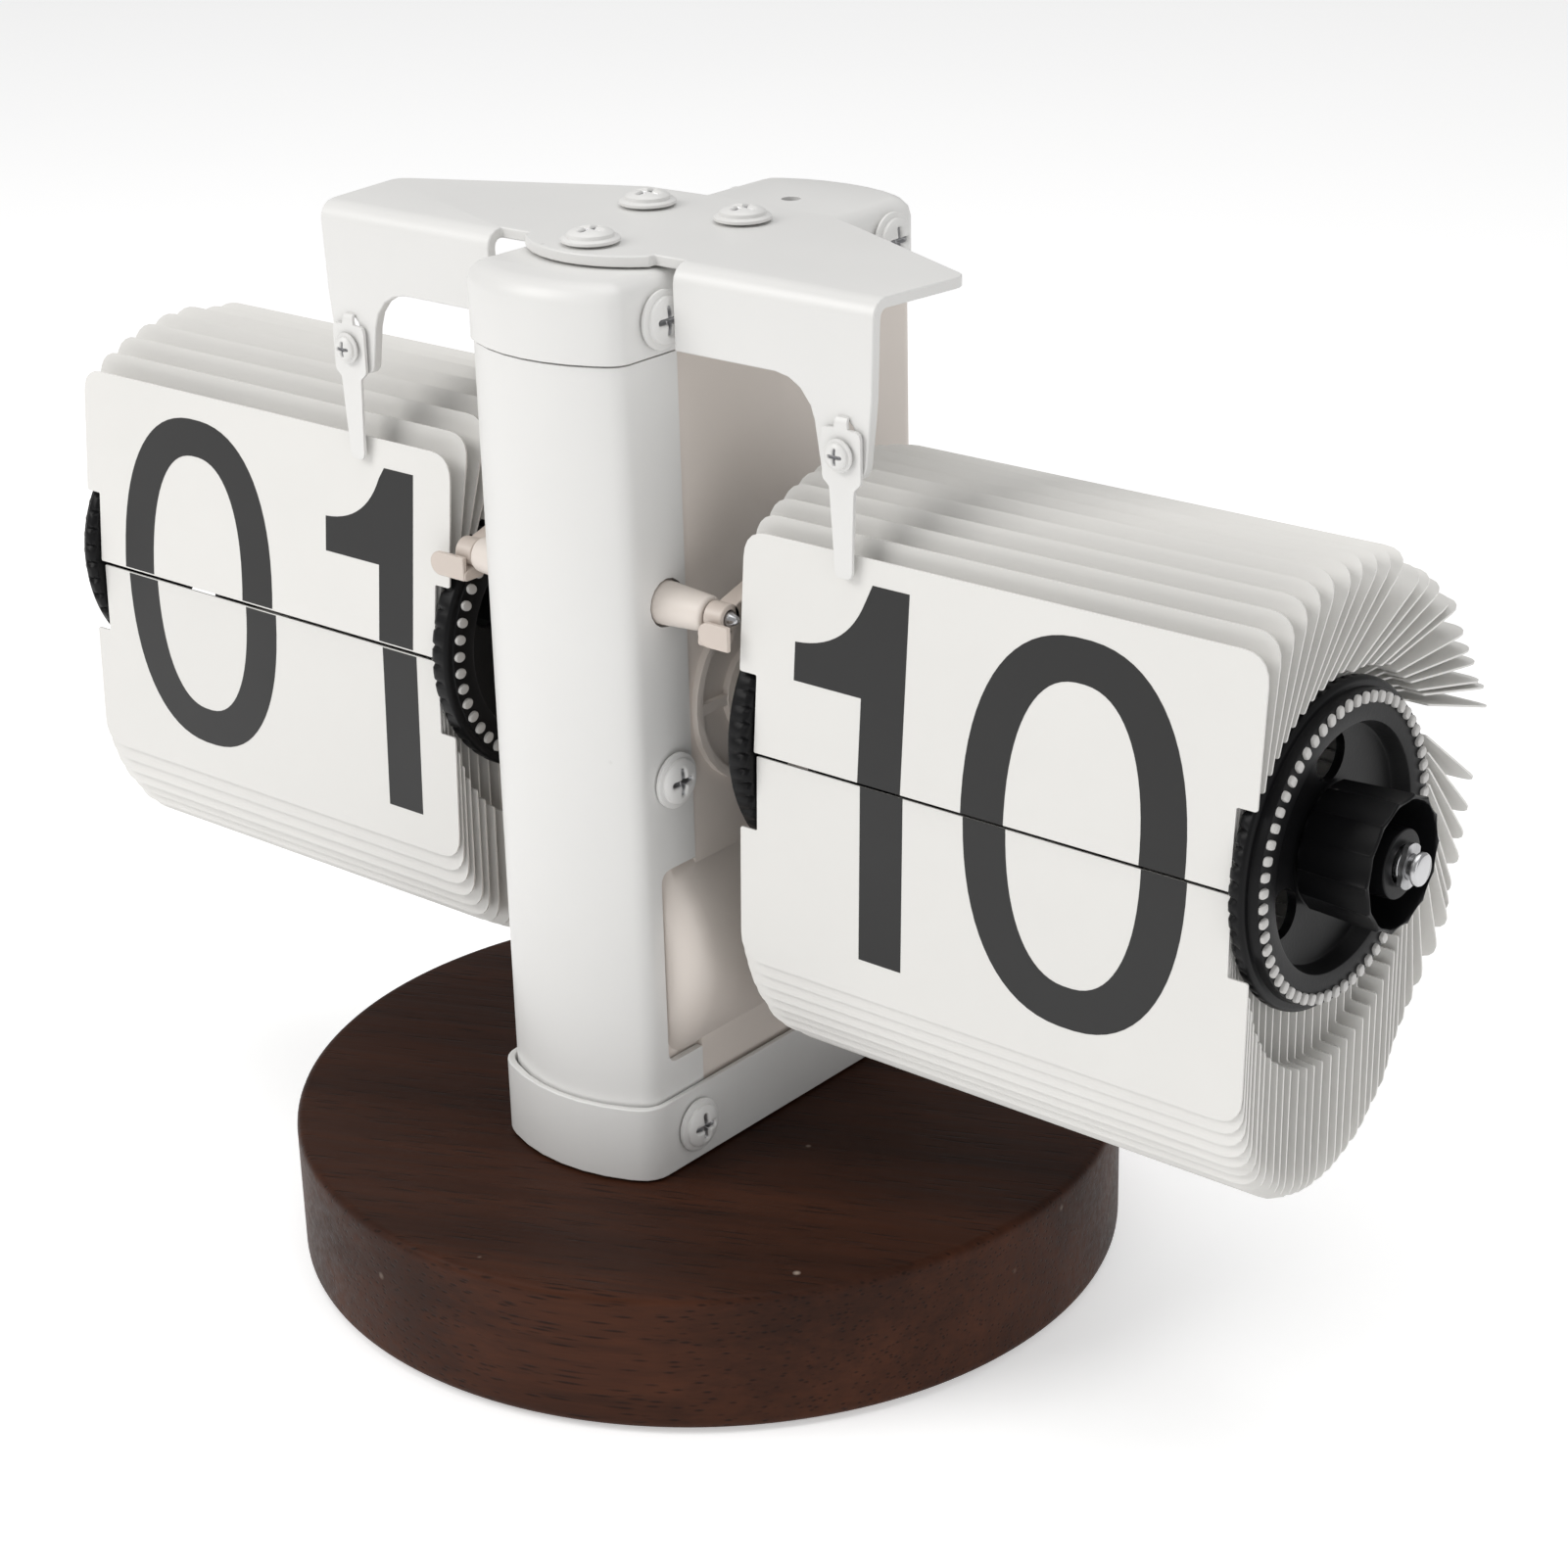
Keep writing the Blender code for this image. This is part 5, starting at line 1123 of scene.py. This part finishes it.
class CLOCK_OT_stage(bpy.types.Operator):
    """Sets up the floor, the lights and the camera"""

    bl_idname = "clock.stage"
    bl_label = "Stage"

    def area(self, name, place, aim, size, power, color=WHITE[:3]):
        """A soft light that looks at a point."""
        data = bpy.data.lights.new(name, "AREA")
        data.shape = "RECTANGLE"
        data.size, data.size_y = size
        data.energy, data.color = power, color
        lamp = bpy.data.objects.new(name, data)
        bpy.context.scene.collection.objects.link(lamp)
        look = Vector(aim) - Vector(place)
        lamp.matrix_world = Matrix.Translation(place) @ look.to_track_quat("-Z", "Y").to_matrix().to_4x4()

    def execute(self, context):
        stage = context.scene.clock_stage
        reach = 3.0
        mesh = bpy.data.meshes.new("floor")
        mesh.from_pydata([(-reach, -reach, 0), (reach, -reach, 0), (reach, reach, 0), (-reach, reach, 0)], [],
                         [(0, 1, 2, 3)])
        floor = bpy.data.objects.new("floor", mesh)
        context.scene.collection.objects.link(floor)
        tree, shader = new_material("pale_floor")
        soft = noise(tree, object_place(tree), 3.0, 3.0, 0.5).outputs[0]
        pale = mix_color(tree, soft, (0.86, 0.86, 0.86, 1), (0.90, 0.90, 0.90, 1))
        feed(tree, shader, {"Base Color": pale, "Roughness": 0.9, "Emission Color": WHITE,
                            "Emission Strength": 0.42})
        mesh.materials.append(MATERIALS["pale_floor"])
        world = bpy.data.worlds.new("room")
        world.use_nodes = True
        back = world.node_tree.nodes["Background"]
        feed(world.node_tree, back, {"Color": WHITE, "Strength": stage.sky})
        context.scene.world = world
        context.scene.view_settings.view_transform = "Standard"
        self.area("key", (-0.42, -0.62, 0.62), (0.02, -0.02, 0.08), (0.5, 0.5), stage.key, (1.0, 0.99, 0.975))
        self.area("top", (0.05, 0.05, 0.85), (0.0, 0.0, 0.08), (0.7, 0.7), stage.key * 0.7)
        self.area("right", (0.75, -0.25, 0.32), (0.03, 0.0, 0.08), (0.35, 0.6), stage.key * 0.2)
        camera = bpy.data.cameras.new("camera")
        camera.lens, camera.sensor_width = stage.focal, 36.0
        camera.clip_start = 0.01
        camera.shift_x, camera.shift_y = -14.3 / 1601, -32.0 / 1601
        holder = bpy.data.objects.new("camera", camera)
        context.scene.collection.objects.link(holder)
        holder.matrix_world = camera_place()
        context.scene.camera = holder
        return {"FINISHED"}


def camera_place():
    """Camera matrix from its place, heading, height angle and roll."""
    place = Vector((0.26962, -0.30214, 0.23578))
    heading, height, roll = math.radians(39.82), math.radians(22.337), math.radians(-1.35)
    forward = Vector((-math.sin(heading) * math.cos(height), math.cos(heading) * math.cos(height),
                      -math.sin(height)))
    right = forward.cross(Vector((0, 0, 1))).normalized()
    up = right.cross(forward)
    right, up = (right * math.cos(roll) + up * math.sin(roll), up * math.cos(roll) - right * math.sin(roll))
    turn = Matrix((right, up, -forward)).transposed().to_4x4()
    return Matrix.Translation(place) @ turn


OPERATORS = (CLOCK_OT_finishes, CLOCK_OT_base, CLOCK_OT_column, CLOCK_OT_screws, CLOCK_OT_reeds,
             CLOCK_OT_drums, CLOCK_OT_knob, CLOCK_OT_cards, CLOCK_OT_stage)
SETTINGS = {"clock_cards": ClockCards, "clock_finish": ClockFinish, "clock_stage": ClockStage}


class CLOCK_PT_panel(bpy.types.Panel):
    """Lists the clock's builders and settings"""

    bl_idname = "CLOCK_PT_panel"
    bl_label = "Flip clock"
    bl_space_type = "VIEW_3D"
    bl_region_type = "UI"
    bl_category = "Flip clock"

    def draw(self, context):
        for operator in OPERATORS:
            self.layout.operator(operator.bl_idname)
        for name, group in SETTINGS.items():
            for field in group.__annotations__:
                self.layout.prop(getattr(context.scene, name), field)


def register():
    """Registers the settings, the operators and the panel."""
    for name, group in SETTINGS.items():
        bpy.utils.register_class(group)
        setattr(bpy.types.Scene, name, bpy.props.PointerProperty(type=group))
    for operator in OPERATORS:
        bpy.utils.register_class(operator)
    bpy.utils.register_class(CLOCK_PT_panel)


def unregister():
    """Removes what register added."""
    bpy.utils.unregister_class(CLOCK_PT_panel)
    for operator in reversed(OPERATORS):
        bpy.utils.unregister_class(operator)
    for name, group in SETTINGS.items():
        delattr(bpy.types.Scene, name)
        bpy.utils.unregister_class(group)


def main():
    """Builds the clock and its stage."""
    register()
    for operator in OPERATORS:
        getattr(bpy.ops.clock, operator.bl_idname.split(".")[1])()


if __name__ == "__main__":
    main()
